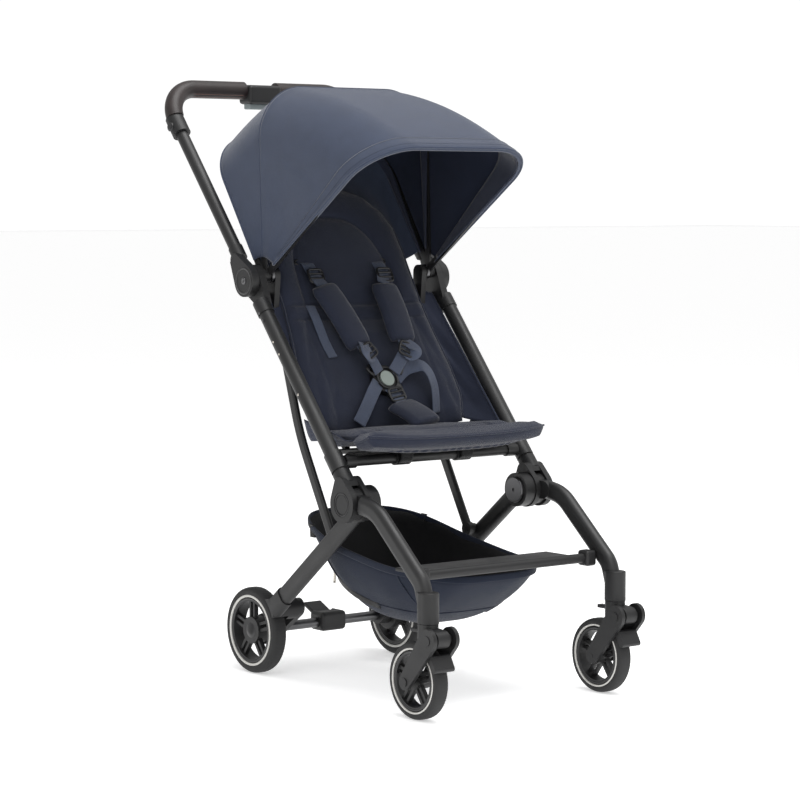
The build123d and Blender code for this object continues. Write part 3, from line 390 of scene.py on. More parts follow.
def weave_group():
    """Plain weave: threads over and under each other, the product of two sines, with loose slubs."""
    tree, source, sink = new_group(
        "Weave",
        [("Vector", "Vector", None), ("Pitch", "Float", 0.0009), ("Slub", "Float", 0.3)],
        [("Height", "Float"), ("Shade", "Float")],
    )
    split = node(tree, "SeparateXYZ", links={0: source.outputs["Vector"]})
    turns = maths(tree, "DIVIDE", 6.28318, source.outputs["Pitch"])
    warp = maths(tree, "SINE", maths(tree, "MULTIPLY", split.outputs[0], turns))
    weft = maths(tree, "SINE", maths(tree, "MULTIPLY", split.outputs[1], turns))
    crossing = maths(tree, "MULTIPLY", warp, weft)
    slub = node(tree, "TexNoise", values={"Scale": 420.0, "Detail": 3.0},
                links={"Vector": source.outputs["Vector"]})
    cloud = node(tree, "TexNoise", values={"Scale": 38.0, "Detail": 4.0},
                 links={"Vector": source.outputs["Vector"]})
    rough = maths(tree, "MULTIPLY", slub.outputs[0], source.outputs["Slub"])
    height = maths(tree, "ADD", maths(tree, "MULTIPLY", crossing, 0.5), rough)
    shade = maths(tree, "ADD", maths(tree, "MULTIPLY", cloud.outputs[0], 0.5),
                  maths(tree, "MULTIPLY", slub.outputs[0], 0.5))
    tree.links.new(height, sink.inputs["Height"])
    tree.links.new(shade, sink.inputs["Shade"])
    return tree


def grain_group():
    """Moulded or leather grain: cell edges over fine noise, and a slow cloud for uneven gloss."""
    tree, source, sink = new_group(
        "Grain",
        [("Vector", "Vector", None), ("Cells", "Float", 900.0), ("Cell Depth", "Float", 0.5)],
        [("Height", "Float"), ("Cloud", "Float")],
    )
    cells = node(tree, "TexVoronoi", {"feature": "DISTANCE_TO_EDGE"},
                 links={"Vector": source.outputs["Vector"], "Scale": source.outputs["Cells"]})
    fine = node(tree, "TexNoise", values={"Scale": 1400.0, "Detail": 2.0},
                links={"Vector": source.outputs["Vector"]})
    cloud = node(tree, "TexNoise", values={"Scale": 24.0, "Detail": 5.0},
                 links={"Vector": source.outputs["Vector"]})
    creases = maths(tree, "MULTIPLY", cells.outputs[0], source.outputs["Cell Depth"])
    tree.links.new(maths(tree, "ADD", creases, maths(tree, "MULTIPLY", fine.outputs[0], 0.3)),
                   sink.inputs["Height"])
    tree.links.new(cloud.outputs[0], sink.inputs["Cloud"])
    return tree


def base_material(name, vector="Object"):
    """A material with an empty Principled shader; returns it with its tree, shader and pattern vector."""
    material = bpy.data.materials.new(name)
    material.use_nodes = True
    tree = material.node_tree
    shader = tree.nodes["Principled BSDF"]
    if vector == "Object":
        place = node(tree, "TexCoord").outputs["Object"]
    else:
        place = node(tree, "UVMap", {"uv_map": "Cloth"}).outputs[0]
    return material, tree, shader, place


def colour_mix(tree, colour, dark, factor):
    """Mixes a colour with a darker or lighter copy of itself by a mask."""
    mix = node(tree, "Mix", {"data_type": "RGBA"})
    tree.links.new(factor, mix.inputs[0])
    mix.inputs[6].default_value = (*[c * dark for c in colour], 1)
    mix.inputs[7].default_value = (*colour, 1)
    return mix.outputs[2]


def stretched(tree, socket, low, high, to_low=0.0, to_high=1.0):
    """Map Range from low..high."""
    made = node(tree, "MapRange", values={"From Min": low, "From Max": high, "To Min": to_low,
                                          "To Max": to_high})
    tree.links.new(socket, made.inputs[0])
    return made.outputs[0]


def woven(name, colour, pitch, bump, sheen=0.25, rough=0.85, dark=0.72, gloss=0.2):
    """Woven cloth: threads and slubs on the cloth's own UV, sheen on the shader."""
    material, tree, shader, place = base_material(name, "UV")
    group = node(tree, "Group", {"node_tree": bpy.data.node_groups["Weave"]}, {"Pitch": pitch},
                 {"Vector": place})
    mask = stretched(tree, group.outputs["Shade"], 0.3, 0.72)
    tree.links.new(colour_mix(tree, colour, dark, mask), shader.inputs["Base Color"])
    uneven = stretched(tree, group.outputs["Shade"], 0.3, 0.7, rough - 0.06, min(1.0, rough + 0.06))
    tree.links.new(uneven, shader.inputs["Roughness"])
    relief = node(tree, "Bump", values={"Strength": bump, "Distance": pitch * 0.5},
                  links={"Height": group.outputs["Height"]})
    tree.links.new(relief.outputs[0], shader.inputs["Normal"])
    shader.inputs["Sheen Weight"].default_value = sheen
    shader.inputs["Sheen Roughness"].default_value = 0.4
    shader.inputs["Specular IOR Level"].default_value = gloss
    return material


def grained(name, colour, cells, depth, bump, rough, metallic=0.0, coat=0.0, dark=0.8):
    """Moulding, coat, rubber, steel or leather: grain on the piece's own coordinates."""
    material, tree, shader, place = base_material(name)
    group = node(tree, "Group", {"node_tree": bpy.data.node_groups["Grain"]},
                 {"Cells": cells, "Cell Depth": depth}, {"Vector": place})
    mask = stretched(tree, group.outputs["Cloud"], 0.35, 0.65)
    tree.links.new(colour_mix(tree, colour, dark, mask), shader.inputs["Base Color"])
    uneven = stretched(tree, group.outputs["Cloud"], 0.3, 0.7, rough - 0.05, rough + 0.06)
    tree.links.new(uneven, shader.inputs["Roughness"])
    relief = node(tree, "Bump", values={"Strength": bump, "Distance": 0.0004},
                  links={"Height": group.outputs["Height"]})
    tree.links.new(relief.outputs[0], shader.inputs["Normal"])
    shader.inputs["Metallic"].default_value = metallic
    shader.inputs["Coat Weight"].default_value = coat
    shader.inputs["Coat Roughness"].default_value = 0.3
    return material


def material(name):
    """A finish made by the finishes operator."""
    return bpy.data.materials[name]


def darker(colour, share):
    """A colour with each channel scaled by a share."""
    return tuple(channel * share for channel in colour)


# ---------------------------------------------------------------- settings
def colour_property(name, description, default):
    return bpy.props.FloatVectorProperty(
        name=name, description=description, subtype="COLOR", size=3, min=0, max=1, default=default)


def length_property(name, description, default):
    return bpy.props.FloatProperty(
        name=name, description=description, subtype="DISTANCE", unit="LENGTH", min=0, default=default)


class StrollerColours(bpy.types.PropertyGroup):
    """Colours of the cloth, leather and mouldings."""

    canopy: colour_property("Canopy cloth", "Navy of the canopy's outer cloth", (0.047, 0.060, 0.098))
    seat: colour_property("Seat cloth", "Navy of the seat and its padding", (0.030, 0.036, 0.062))
    lining: colour_property("Canopy lining", "Dark navy inside the canopy", (0.020, 0.026, 0.050))
    # Darker navy for the canopy's inner face: painted shade inside the canopy.
    basket: colour_property("Basket cloth", "Navy of the basket", (0.030, 0.040, 0.072))
    webbing: colour_property("Webbing", "Blue-grey of the harness straps", (0.085, 0.110, 0.180))
    leather: colour_property("Grip leather", "Dark brown of the handlebar grip", (0.042, 0.026, 0.025))
    thread: colour_property("Grip thread", "Red-brown thread of the grip's seam", (0.20, 0.09, 0.07))
    coat: colour_property("Frame coat", "Satin black of the tubes", (0.022, 0.022, 0.023))
    moulding: colour_property("Moulding", "Black of the moulded parts", (0.014, 0.014, 0.015))
    lever: colour_property("Lever", "Grey of the fold lever", (0.20, 0.23, 0.235))
    button: colour_property("Buckle button", "Grey-green of the buckle's button", (0.26, 0.30, 0.275))
    stripe: colour_property("Wheel stripe", "Off-white of the ring on each tyre", (0.62, 0.61, 0.58))


class StrollerSizes(bpy.types.PropertyGroup):
    """Sizes of the cloth and trim."""

    cloth: length_property("Cloth thickness", "Thickness of the canopy and side cloth", 0.0012)
    piping: length_property("Piping radius", "Radius of the piping along sewn edges", 0.0021)
    hem: length_property("Canopy hem", "Width of the band along the canopy's front edge", 0.020)
    webbing_width: length_property("Webbing width", "Width of the harness straps", 0.024)
    webbing_thickness: length_property("Webbing thickness", "Thickness of the harness straps", 0.0016)
    stitch: length_property("Stitch pitch", "Distance from one stitch to the next", 0.0036)
    pad: length_property("Backrest padding", "Thickness of the padding on the backrest", 0.020)
    hem_drop: length_property("Leg rest hem", "How far the gathered hem hangs under the leg rest", 0.026)


def colours():
    return bpy.context.scene.stroller_colours


def sizes():
    return bpy.context.scene.stroller_sizes


# ---------------------------------------------------------------- finishes
class STROLLER_OT_finishes(bpy.types.Operator):
    """Makes every finish and puts one on each part of the frame."""

    bl_idname = "stroller.finishes"
    bl_label = "Finishes"

    def execute(self, context):
        tone = colours()
        weave_group()
        grain_group()
        woven("canopy_cloth", tone.canopy, 0.0009, 0.35, sheen=0.3)
        woven("seat_cloth", darker(tone.seat, 0.8), 0.0011, 0.45, sheen=0.3)
        woven("side_cloth", tone.seat, 0.0009, 0.35, sheen=0.2, rough=0.75)
        # The canopy's inner face: the canopy navy darkened, painted shade.
        woven("canopy_inside_painted_shade", tone.lining, 0.0010, 0.3, sheen=0.1)
        woven("basket_cloth", darker(tone.basket, 0.55), 0.0010, 0.35, sheen=0.15)
        woven("black_cloth", (0.009, 0.009, 0.010), 0.0010, 0.4, sheen=0.1)
        woven("webbing", darker(tone.webbing, 0.85), 0.0016, 0.7, sheen=0.2, rough=0.5, dark=0.6,
              gloss=0.5)
        woven("black_webbing", (0.012, 0.012, 0.013), 0.0016, 0.7, sheen=0.2, rough=0.6)
        woven("zip_teeth", (0.012, 0.012, 0.012), 0.0024, 1.0, sheen=0.0, rough=0.4, gloss=0.5)
        grained("frame_coat", darker(tone.coat, 0.5), 1500.0, 0.2, 0.12, 0.46, coat=0.05)
        grained("moulding", darker(tone.moulding, 0.6), 900.0, 0.6, 0.25, 0.5)
        grained("smooth_moulding", tone.moulding, 1200.0, 0.3, 0.1, 0.36, coat=0.1)
        grained("steel", (0.16, 0.16, 0.165), 1500.0, 0.2, 0.1, 0.32, metallic=1.0)
        grained("alloy", (0.35, 0.35, 0.36), 1500.0, 0.2, 0.1, 0.35, metallic=1.0)
        grained("bright_metal", (0.62, 0.58, 0.52), 1500.0, 0.2, 0.05, 0.25, metallic=1.0)
        grained("leather", darker(tone.leather, 0.5), 520.0, 1.0, 0.55, 0.48, coat=0.08, dark=0.62)
        grained("thread", tone.thread, 1800.0, 0.5, 0.3, 0.7)
        grained("navy_thread", darker(tone.seat, 0.55), 1800.0, 0.5, 0.3, 0.8)
        grained("lever_grey", tone.lever, 1100.0, 0.4, 0.15, 0.4)
        grained("button_grey", tone.button, 1100.0, 0.3, 0.1, 0.45)
        grained("tyre", (0.014, 0.014, 0.0145), 700.0, 0.6, 0.35, 0.68)
        grained("stripe", tone.stripe, 900.0, 0.3, 0.1, 0.5, dark=0.92)
        finish = {
            "frame_black": "frame_coat", "moulded_black": "moulding",
            "steel_parts": "steel", "alloy_tube": "alloy",
            "grip_leather": "leather", "tyre_black": "tyre",
            "lever_grey": "lever_grey", "button_grey": "button_grey",
            "cloth_navy": "seat_cloth", "canopy_navy": "canopy_cloth",
            "basket_navy": "basket_cloth", "webbing_blue": "webbing",
        }
        slots = {part["node"]: part["material_slot"] for part in frame["record"]["subparts"]}
        for name, part in frame["nodes"].items():
            part.data.materials.clear()
            part.data.materials.append(material(finish[slots[name]]))
        return {"FINISHED"}


# ---------------------------------------------------------------- canopy
def cover_radius(angle):
    """Arch height at an angle about the fold axis: mostly the straight line between bows, slightly round."""
    angle = np.asarray(angle, float)
    index = np.clip(np.searchsorted(BOW_ANGLES, angle) - 1, 0, 1)
    a, b = BOW_ANGLES[index], BOW_ANGLES[index + 1]
    ra, rb = BOW_HEIGHTS[index], BOW_HEIGHTS[index + 1]
    straight = ra * rb * np.sin(b - a) / (ra * np.sin(angle - a) + rb * np.sin(b - angle))
    even = ra + (rb - ra) * (angle - a) / (b - a)
    ridge = sum(np.exp(-(((angle - bow) / 0.03) ** 2)) for bow in BOW_ANGLES)
    return 0.62 * straight + 0.38 * even + 0.0012 * ridge


def cover_point(angle, share, lift=0.0, foot=COVER_FOOT):
    """A point of the canopy: angle about the fold axis, share along the arch from the left, lift outwards.

    The arch has straight legs, round corners and a level top; a share is a distance from the top's middle."""
    angle, share = np.broadcast_arrays(np.asarray(angle, float), np.asarray(share, float))
    half = np.interp(angle, BOW_ANGLES, BOW_HALVES) + lift
    top = cover_radius(angle) + 0.0022 + lift
    corner = BOW_CORNER + lift
    level, leg = half - corner, top - corner - foot
    reach = np.abs(1 - 2 * share) * (level + corner * np.pi / 2 + leg)
    turn = np.clip((reach - level) / corner, 0, np.pi / 2)
    x = np.sign(1 - 2 * share) * (np.minimum(reach, level) + corner * np.sin(turn))
    r = top - corner + corner * np.cos(turn) - np.maximum(reach - level - corner * np.pi / 2, 0)
    return yz(x, FOLD + np.stack([r * np.cos(angle), r * np.sin(angle)], -1))


def cover_grid(first, last, rows, columns, lift=0.0, foot=COVER_FOOT, low=0.0, high=1.0):
    """Grid of canopy points between two angles."""
    angle = np.linspace(first, last, rows)[:, None]
    return cover_point(angle, np.linspace(low, high, columns)[None], lift, foot)


class STROLLER_OT_canopy(bpy.types.Operator):
    """The canopy's two cloth covers, its ridge and edge piping, front band, inner flap and rib sleeves."""

    bl_idname = "stroller.canopy"
    bl_label = "Canopy"

    def execute(self, context):
        size = sizes()
        rear, mid, front = BOW_ANGLES
        # Outer face canopy navy, inner face the darker navy that paints the shade inside the canopy.
        outside_in = [material("canopy_cloth"), material("canopy_inside_painted_shade")]
        back = cover_grid(REAR_EDGE, mid, 34, 141)
        cover = sheet_shell("canopy_rear_cover", back, size.cloth, outside_in)
        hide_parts("canopy_rear_panel")
        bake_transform(cover)
        fore = cover_grid(mid, front, 60, 141)
        # Soft ripples down both sides: a sine of the share along the arch, strongest midway between the bows.
        ripple = 0.0016 * np.sin(np.linspace(0, 1, 60)[:, None] * np.pi) ** 2
        share = np.linspace(0, 1, 141)[None]
        ripple = ripple * np.sin(share * 34) * (np.abs(share - 0.5) > 0.3)
        fore = fore + unit(fore * [1, 0, 0] + 1e-6) * ripple[..., None]
        cover = sheet_shell("canopy_front_cover", fore, size.cloth, outside_in)
        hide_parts("canopy_front_panel")
        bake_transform(cover)
        shares = np.linspace(0.0, 1.0, 161)
        for name, angle, radius, body in (
            ("canopy_ridge", mid, 0.0012, "canopy_mid"),
            ("canopy_back_piping", REAR_EDGE, size.piping, "frame"),
            ("canopy_front_piping", front + np.radians(1.75), size.piping, "canopy_front"),
        ):
            path = cover_point(angle, shares, 0.0006)
            piping = carried(name, path, circle(radius, 8), material("canopy_cloth"),
                             up=(0, np.sin(angle), -np.cos(angle)))
            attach(piping, body)
        width = size.hem / BOW_HEIGHTS[2]
        # The band wraps the bow: it runs on past it and then turns in, its lift falling as the angle grows.
        band = cover_grid(front - width, FRONT_TIP, 9, 161, 0.0013)
        fold = [cover_point(FRONT_TIP + 0.004 * lift, shares, 0.0013 - 0.009 * lift)
                for lift in (0.35, 0.7, 1.0)]
        band = np.concatenate([band, np.stack(fold)])
        hem = sheet_shell("canopy_front_band", band, 0.0014, material("canopy_cloth"))
        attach(hem, "canopy_front")
        inside = cover_grid(front - 2.2 * width, FRONT_TIP, 9, 121, -0.0082, foot=COVER_FOOT + 0.012)
        flap = sheet_shell("canopy_inner_flap", inside, 0.0012, material("seat_cloth"))
        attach(flap, "canopy_front")
        for name, angle, body in (("canopy_mid_sleeve", mid, "canopy_mid"),
                                  ("canopy_rear_sleeve", rear, "frame")):
            spread = np.radians(2.6)
            strip = cover_grid(angle - spread, angle + spread, 7, 101, -0.0095, foot=COVER_FOOT + 0.01)
            sleeve = sheet_shell(name, strip, 0.001, material("side_cloth"))
            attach(sleeve, body)
        rows = []
        for angle in (front - width + np.radians(0.35), front + np.radians(0.2)):
            path = cover_point(angle, np.linspace(0.02, 0.98, 2000), 0.0023)
            rows.append(stitch_row(path, size.stitch, material("navy_thread"),
                                   (0, np.sin(angle), -np.cos(angle))))
        seam = joined("canopy_stitches", rows)
        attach(seam, "canopy_front")
        return {"FINISHED"}


def stitch_row(path, pitch, finish, up, radius=0.00035, fill=0.62):
    """A row of stitches: short capsules, one every pitch along the path, all in one mesh."""
    length = np.concatenate([[0], np.cumsum(np.linalg.norm(np.diff(path, axis=0), axis=1))])
    count = int(length[-1] // pitch)
    starts = (np.arange(count) + 0.2) * pitch
    share = np.array([0.0, 0.12, 0.5, 0.88, 1.0])
    swell = np.array([0.35, 0.9, 1.0, 0.9, 0.35])
    at = starts[:, None] + share[None] * pitch * fill
    centre = np.stack([np.interp(at, length, path[:, k]) for k in range(3)], -1)
    tangent = unit(centre[:, -1] - centre[:, 0])[:, None]
    side = unit(np.cross(np.broadcast_to(np.asarray(up, float), tangent.shape), tangent))
    height = np.cross(tangent, side)
    ring = circle(radius, 6)
    grid = centre[:, :, None] + (side[:, :, None] * ring[None, None, :, :1]
                                 + height[:, :, None] * ring[None, None, :, 1:]) * swell[None, :, None, None]
    single = quads(len(share), 6, True, False)[0]
    caps = np.array([[0, 1, 2, 3], [3, 4, 5, 0]])
    low, high = caps[:, ::-1], caps + 6 * (len(share) - 1)
    one = np.vstack([single, low, high])
    if volume_sign(grid[0].reshape(-1, 3), one) < 0:
        one = one[:, ::-1]
    faces = (one[None] + np.arange(count)[:, None, None] * 6 * len(share)).reshape(-1, 4)
    uv = np.zeros((len(faces), 4, 2))
    return place_mesh("stitches", grid.reshape(-1, 3), faces, uv, np.zeros(len(faces), int), finish)


# ---------------------------------------------------------------- seat
def pad_half(along):
    """Half width of the backrest pad up its slope: widest at the seat, rounded off at the head."""
    knots = np.array([0.0, 0.05, 0.11, 0.18, 0.24, 0.34, 0.385, 0.42, 0.45, 0.467, 0.474])
    halves = np.array([0.150, 0.166, 0.164, 0.154, 0.149, 0.149, 0.146, 0.130, 0.098, 0.058, 0.004])
    return np.interp(along, knots, halves)


def back_grid(rows, columns):
    """Middle surface of the backrest pad: rows up the slope, columns across it, its sides cupped forward."""
    share = np.linspace(0, 1, rows)
    along = PAD_LENGTH * (1 - (1 - share) ** 1.35) ** (1 / 1.05)
    along = np.maximum.accumulate(along)
    across = np.linspace(-1, 1, columns)
    a, v = np.meshgrid(along, across, indexing="ij")
    proud = 0.0155 + 0.012 * np.abs(v) ** 3 * np.clip(1 - a / 0.5, 0, 1)
    return on_back(pad_half(a) * v, a, proud), a, v


def seam_depth(distance, width=0.0035):
    """How deep a seam pulls the cloth in at a distance from it: a bell curve."""
    return np.exp(-(distance / width) ** 2)


def back_seams(x, along):
    """Depth from 0 to 1 of the seams: an arch round the head panel, and two level seams below it."""
    arch = (np.abs(x) / 0.103) ** 2.6 + (np.maximum(along - 0.25, 0) / 0.158) ** 2.6
    distance = (arch ** (1 / 2.6) - 1) * 0.103
    head = seam_depth(distance) * (along > SEAM_LEVELS[0])
    level = sum(seam_depth(along - seam) for seam in SEAM_LEVELS)
    middle = seam_depth(np.abs(x) - SEAM_SIDE, 0.003) * (along < SEAM_LEVELS[1]) * 0.5
    return np.clip(head + level + middle, 0, 1)


class STROLLER_OT_backrest(bpy.types.Operator):
    """The padded backrest with its sewn head panel, level seams, harness slots and piped edge."""

    bl_idname = "stroller.backrest"
    bl_label = "Backrest pad"

    def execute(self, context):
        size = sizes()
        grid, along, across = back_grid(118, 81)
        x = grid[..., 0]
        edge = np.clip((1 - np.abs(across)) / 0.10, 0, 1) ** PAD_POWER
        ends = np.clip(along / 0.02, 0, 1) ** 0.5 * np.clip((PAD_LENGTH - along) / 0.03, 0, 1) ** 0.5
        seams = back_seams(x, along)
        front = HIDE + size.pad * 0.56 * edge * ends * (1 - 0.42 * seams)
        back = HIDE + size.pad * 0.42 * edge * ends
        pad = pad_shell("backrest_pad", grid, front, back, material("seat_cloth"))
        sewn = np.concatenate([seams > 0.55, np.ones_like(seams, bool)], 1).ravel()
        rim = np.concatenate([np.abs(across) > 0.97, np.ones_like(seams, bool)], 1).ravel()
        pinned = np.zeros(len(pad.data.vertices), bool)
        pinned[: sewn.size] = sewn | rim
        puffed(pad, pinned, PAD_PRESSURE, 0.006)
        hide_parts("backrest_cushion")
        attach(pad, "backrest")
        outline = np.concatenate([grid[::2, 0], grid[-1, 1:-1:2], grid[::-2, -1]])
        outline = smooth_path(outline, 320)
        piping = carried("backrest_piping", outline + BACK_UP * 0.001, circle(size.piping, 8),
                         material("seat_cloth"), up=BACK_UP)
        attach(piping, "backrest")
        slots = []
        for side, _ in SIDES:
            ring = flat_oval(0.044, 0.011, 40, 3.0)
            path = on_back(side * 0.076 + ring[:, 0], 0.318 + ring[:, 1], 0.0262)
            slots.append(carried("slot_rim", path, circle(0.0014, 8), material("smooth_moulding"),
                                 up=BACK_UP, ring=True))
            mouth = np.stack([ring * s for s in (0.02, 0.4, 0.8, 1.0)])
            dark = on_back(side * 0.076 + mouth[..., 0], 0.318 + mouth[..., 1], 0.0258)
            slots.append(sheet_disc("slot_mouth", dark, 0.0006, material("black_cloth")))
        rims = joined("harness_slots", slots)
        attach(rims, "backrest")
        return {"FINISHED"}


def sheet_disc(name, rings, thickness, finish):
    """A thin closed disc from rings of points, from its middle outwards and back underneath."""
    normal = unit(np.cross(rings[-1, 10] - rings[0, 0], rings[-1, 0] - rings[0, 0]))
    both = np.concatenate([rings + normal * thickness / 2, rings[::-1] - normal * thickness / 2])
    return shell(name, both, finish)


def seat_level(y):
    """Height of the seat board's top: it falls a little towards the backrest."""
    return 0.4085 - 0.094 * (np.asarray(y) + 0.0633)


class STROLLER_OT_seat(bpy.types.Operator):
    """The padded seat, the cloth hanging under its front edge, the gussets beside it and the loops under it.
    """

    bl_idname = "stroller.seat"
    bl_label = "Seat pad"

    def execute(self, context):
        size = sizes()
        # Middle surface: the board's height, dished at its sides by a fourth power, curled up at one end.
        y, x = np.meshgrid(np.linspace(-0.136, 0.012, 44), np.linspace(-1, 1, 81), indexing="ij")
        half = 0.171 - 0.012 * np.clip((y + 0.06) / 0.06, 0, 1)
        dish = 0.006 * np.abs(x) ** 4 + 0.010 * np.clip((y + 0.016) / 0.028, 0, 1) ** 2
        grid = np.stack([half * x, y, seat_level(y) + 0.0155 + dish], -1)
        edge = np.clip((1 - np.abs(x)) / 0.12, 0, 1) ** PAD_POWER
        ends = np.clip((y + 0.136) / 0.018, 0, 1) ** 0.5 * np.clip((0.012 - y) / 0.012, 0, 1) ** 0.5
        insert = np.abs(np.abs(grid[..., 0]) - SEAM_SIDE)
        seams = seam_depth(insert, 0.0035)
        front = HIDE + 0.0125 * edge * ends * (1 - 0.45 * seams)
        back = HIDE + 0.013 * edge * ends
        pad = pad_shell("seat_pad", grid, front, back, material("seat_cloth"))
        sewn = np.concatenate([(seams > 0.55) | (np.abs(x) > 0.97), np.ones_like(seams, bool)], 1).ravel()
        pinned = np.zeros(len(pad.data.vertices), bool)
        pinned[: sewn.size] = sewn
        puffed(pad, pinned, PAD_PRESSURE, 0.005)
        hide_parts("seat_cushion")
        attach(pad, "frame")
        loops = []
        for side, _ in SIDES:
            ring = flat_oval(0.034, 0.030, 32, 3.0)
            tube = on_tube(0.3932)
            path = yz(side * 0.065, np.stack([tube[0] + ring[:, 0], 0.4005 + ring[:, 1]], 1))
            loops.append(carried("loop", path, flat_oval(0.0016, 0.026, 12), material("black_webbing"),
                                 up=(1, 0, 0), ring=True))
        straps = joined("seat_loops", loops)
        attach(straps, "frame")
        # Cloth under the seat: it hangs from the board's front edge, longest a little right of the middle.
        x, v = np.meshgrid(np.linspace(-1, 1, 90), np.linspace(0, 1, 14), indexing="ij")
        drop = 0.026 - 0.010 * np.clip(x, -1, 1) ** 2 - 0.006 * x
        under = np.stack([0.176 * x, -0.118 + 0.045 * v + 0.0012 * np.sin(x * 21) * v, 0.409 - drop * v], -1)
        piece = sheet_shell("seat_underside", under, size.cloth, material("black_cloth"))
        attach(piece, "frame")
        # Gussets: straight from the seat's side to the tube, sagging by half a sine between.
        y, v = np.meshgrid(np.linspace(-0.128, 0.0, 20), np.linspace(0, 1, 12), indexing="ij")
        for side, name in SIDES:
            inner = np.stack([side * (0.166 + 0 * y), y, seat_level(y) + 0.016], -1)
            tube_y = np.clip(y * 0.75 - 0.004, -0.112, 0.0)
            outer = np.stack([side * (0.184 + 0 * y), tube_y, 0.436 + 0.16 * (y + 0.128)], -1)
            gusset = inner + (outer - inner) * v[..., None]
            gusset[..., 2] -= 0.006 * np.sin(np.pi * v)
            piece = sheet_shell("seat_gusset_" + name, gusset, size.cloth, material("side_cloth"))
            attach(piece, "frame")
        return {"FINISHED"}


class STROLLER_OT_sides(bpy.types.Operator):
    """The cloth from the backrest to the tubes at both sides, and from the backrest up to the canopy."""

    bl_idname = "stroller.sides"
    bl_label = "Seat sides"

    def execute(self, context):
        size = sizes()
        # Sides: straight from the backrest to the tube, sagging by half a sine, creased by a slanted sine.
        t, v = np.meshgrid(np.linspace(0, 1, 50), np.linspace(0, 1, 24), indexing="ij")
        for side, name in SIDES:
            along = 0.012 + 0.265 * t
            inner = on_back(side * (pad_half(along) - 0.002), along, 0.020)
            level = 0.436 + 0.222 * t
            tube = on_tube(level)
            outer = yz(side * (0.1845 + 0 * t), tube + np.array([0.004, 0.0]) + 0.008 * t[..., None] * [1, 0])
            wing = inner + (outer - inner) * v[..., None]
            sag = 0.012 * np.sin(np.pi * v) * (0.4 + 0.6 * np.sin(np.pi * t))
            crease = 0.0022 * np.sin(v * 9 + t * 16) * np.sin(np.pi * v) * np.sin(np.pi * t)
            wing = wing - BACK_UP * (sag + crease)[..., None]
            piece = sheet_shell("seat_side_" + name, wing, size.cloth, material("side_cloth"))
            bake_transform(piece)
            piping = carried("side_piping_" + name, wing[:, -1], circle(size.piping, 8),
                             material("side_cloth"), up=(1, 0, 0))
            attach(piping, "frame")
        # Curtain: straight from the rear arch to the backrest's head outline, bellied back by half a sine.
        rows, columns = 26, 141
        top = cover_point(BOW_ANGLES[0] - np.radians(1.0), np.linspace(0.02, 0.98, columns), -0.003)
        climb = np.linspace(0.325, 0.473, 200)
        left = np.stack([pad_half(climb) - 0.003, climb], 1)
        around = smooth_path(np.concatenate([left, left[::-1] * [-1, 1]])[::3], columns)
        bottom = on_back(around[:, 0], around[:, 1], 0.013)
        share = np.linspace(0, 1, rows)[:, None, None]
        curtain = top[None] + (bottom[None] - top[None]) * share
        belly = np.sin(np.pi * share[..., 0]) * 0.010
        curtain = curtain - BACK_UP * belly[..., None]
        piece = sheet_shell("canopy_back_curtain", curtain, size.cloth, material("canopy_cloth"))
        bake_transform(piece)
        length, width = 0.458, 0.132
        a, u = np.meshgrid(np.linspace(0.02, 0.02 + length, 60), np.linspace(-1, 1, 31), indexing="ij")
        cover = on_back(width * u, a, -0.0062 - 0.002 * np.sin(np.pi * (a - 0.02) / length) * (1 - u**2))
        piece = sheet_shell("backrest_rear_cover", cover, size.cloth, material("side_cloth"))
        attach(piece, "backrest")
        return {"FINISHED"}


class STROLLER_OT_leg_rest(bpy.types.Operator):
    """The padded leg rest with its bowed, piped front edge and the gathered hem under it."""

    bl_idname = "stroller.leg_rest"
    bl_label = "Leg rest"

    def execute(self, context):
        size = sizes()
        # Middle surface: its front edge bows forward by a parabola and its ends turn up by a third power.
        u, v = np.meshgrid(np.linspace(-1, 1, 111), np.linspace(0, 1, 33), indexing="ij")
        tip = np.abs(u) ** 6
        back = -0.131 - 0.014 * tip
        fore = -0.201 - 0.010 * (1 - u**2) + 0.013 * tip
        y = back + (fore - back) * v
        x = 0.187 * u
        z = 0.4225 + 0.0115 * v + 0.006 * np.abs(u) ** 3 - 0.003 * np.sin(np.pi * v)
        grid = np.stack([x, y, z], -1)
        rim = np.clip((1 - np.abs(u)) / 0.07, 0, 1) ** 0.5
        ends = np.clip(v / 0.12, 0, 1) ** 0.5 * np.clip((1 - v) / 0.16, 0, 1) ** 0.5
        swell = rim * ends
        normal_up = 1.0 if grid_normals(grid)[50, 16, 2] > 0 else -1.0
        upper, lower = 0.0006 + 0.0125 * swell, 0.0006 + 0.0135 * swell
        front, under = (upper, lower) if normal_up > 0 else (lower, upper)
        pad = pad_shell("leg_rest_pad", grid, front, under, material("seat_cloth"))
        edge = (np.abs(u) > 0.985) | (v < 0.02) | (v > 0.98)
        pinned = np.zeros(len(pad.data.vertices), bool)
        pinned[: 2 * edge.size] = np.concatenate([edge, edge[:, ::-1]], 1).ravel()
        puffed(pad, pinned, PAD_PRESSURE, 0.005)
        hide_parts("leg_rest")
        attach(pad, "leg_rest")
        line = np.concatenate([grid[0, 4:-1], grid[:, -1], grid[-1, -2:3:-1]])
        line = smooth_path(line[::2], 300)
        piping = carried("leg_rest_piping", line, circle(size.piping * 0.9, 8), material("seat_cloth"))
        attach(piping, "leg_rest")
        # Hem: it hangs from the front edge and tucks under, its gathers a sine that grows downwards.
        s, h = np.meshgrid(np.linspace(-1, 1, 240), np.linspace(0, 1, 14), indexing="ij")
        fore = -0.198 - 0.010 * (1 - s**2) + 0.018 * np.abs(s) ** 6
        gather = 0.0016 * np.sin(s * 62 + 1.3 * np.sin(s * 11)) * h
        hang = np.stack([0.181 * s, fore + 0.030 * h**1.2 + 0.006 * (1 - h) + gather,
                         0.4325 + 0.005 * np.abs(s) ** 3 - size.hem_drop * h * (1 - 0.35 * np.abs(s) ** 4)],
                         -1)
        hem = sheet_shell("leg_rest_hem", hang, size.cloth, material("seat_cloth"))
        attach(hem, "leg_rest")
        return {"FINISHED"}


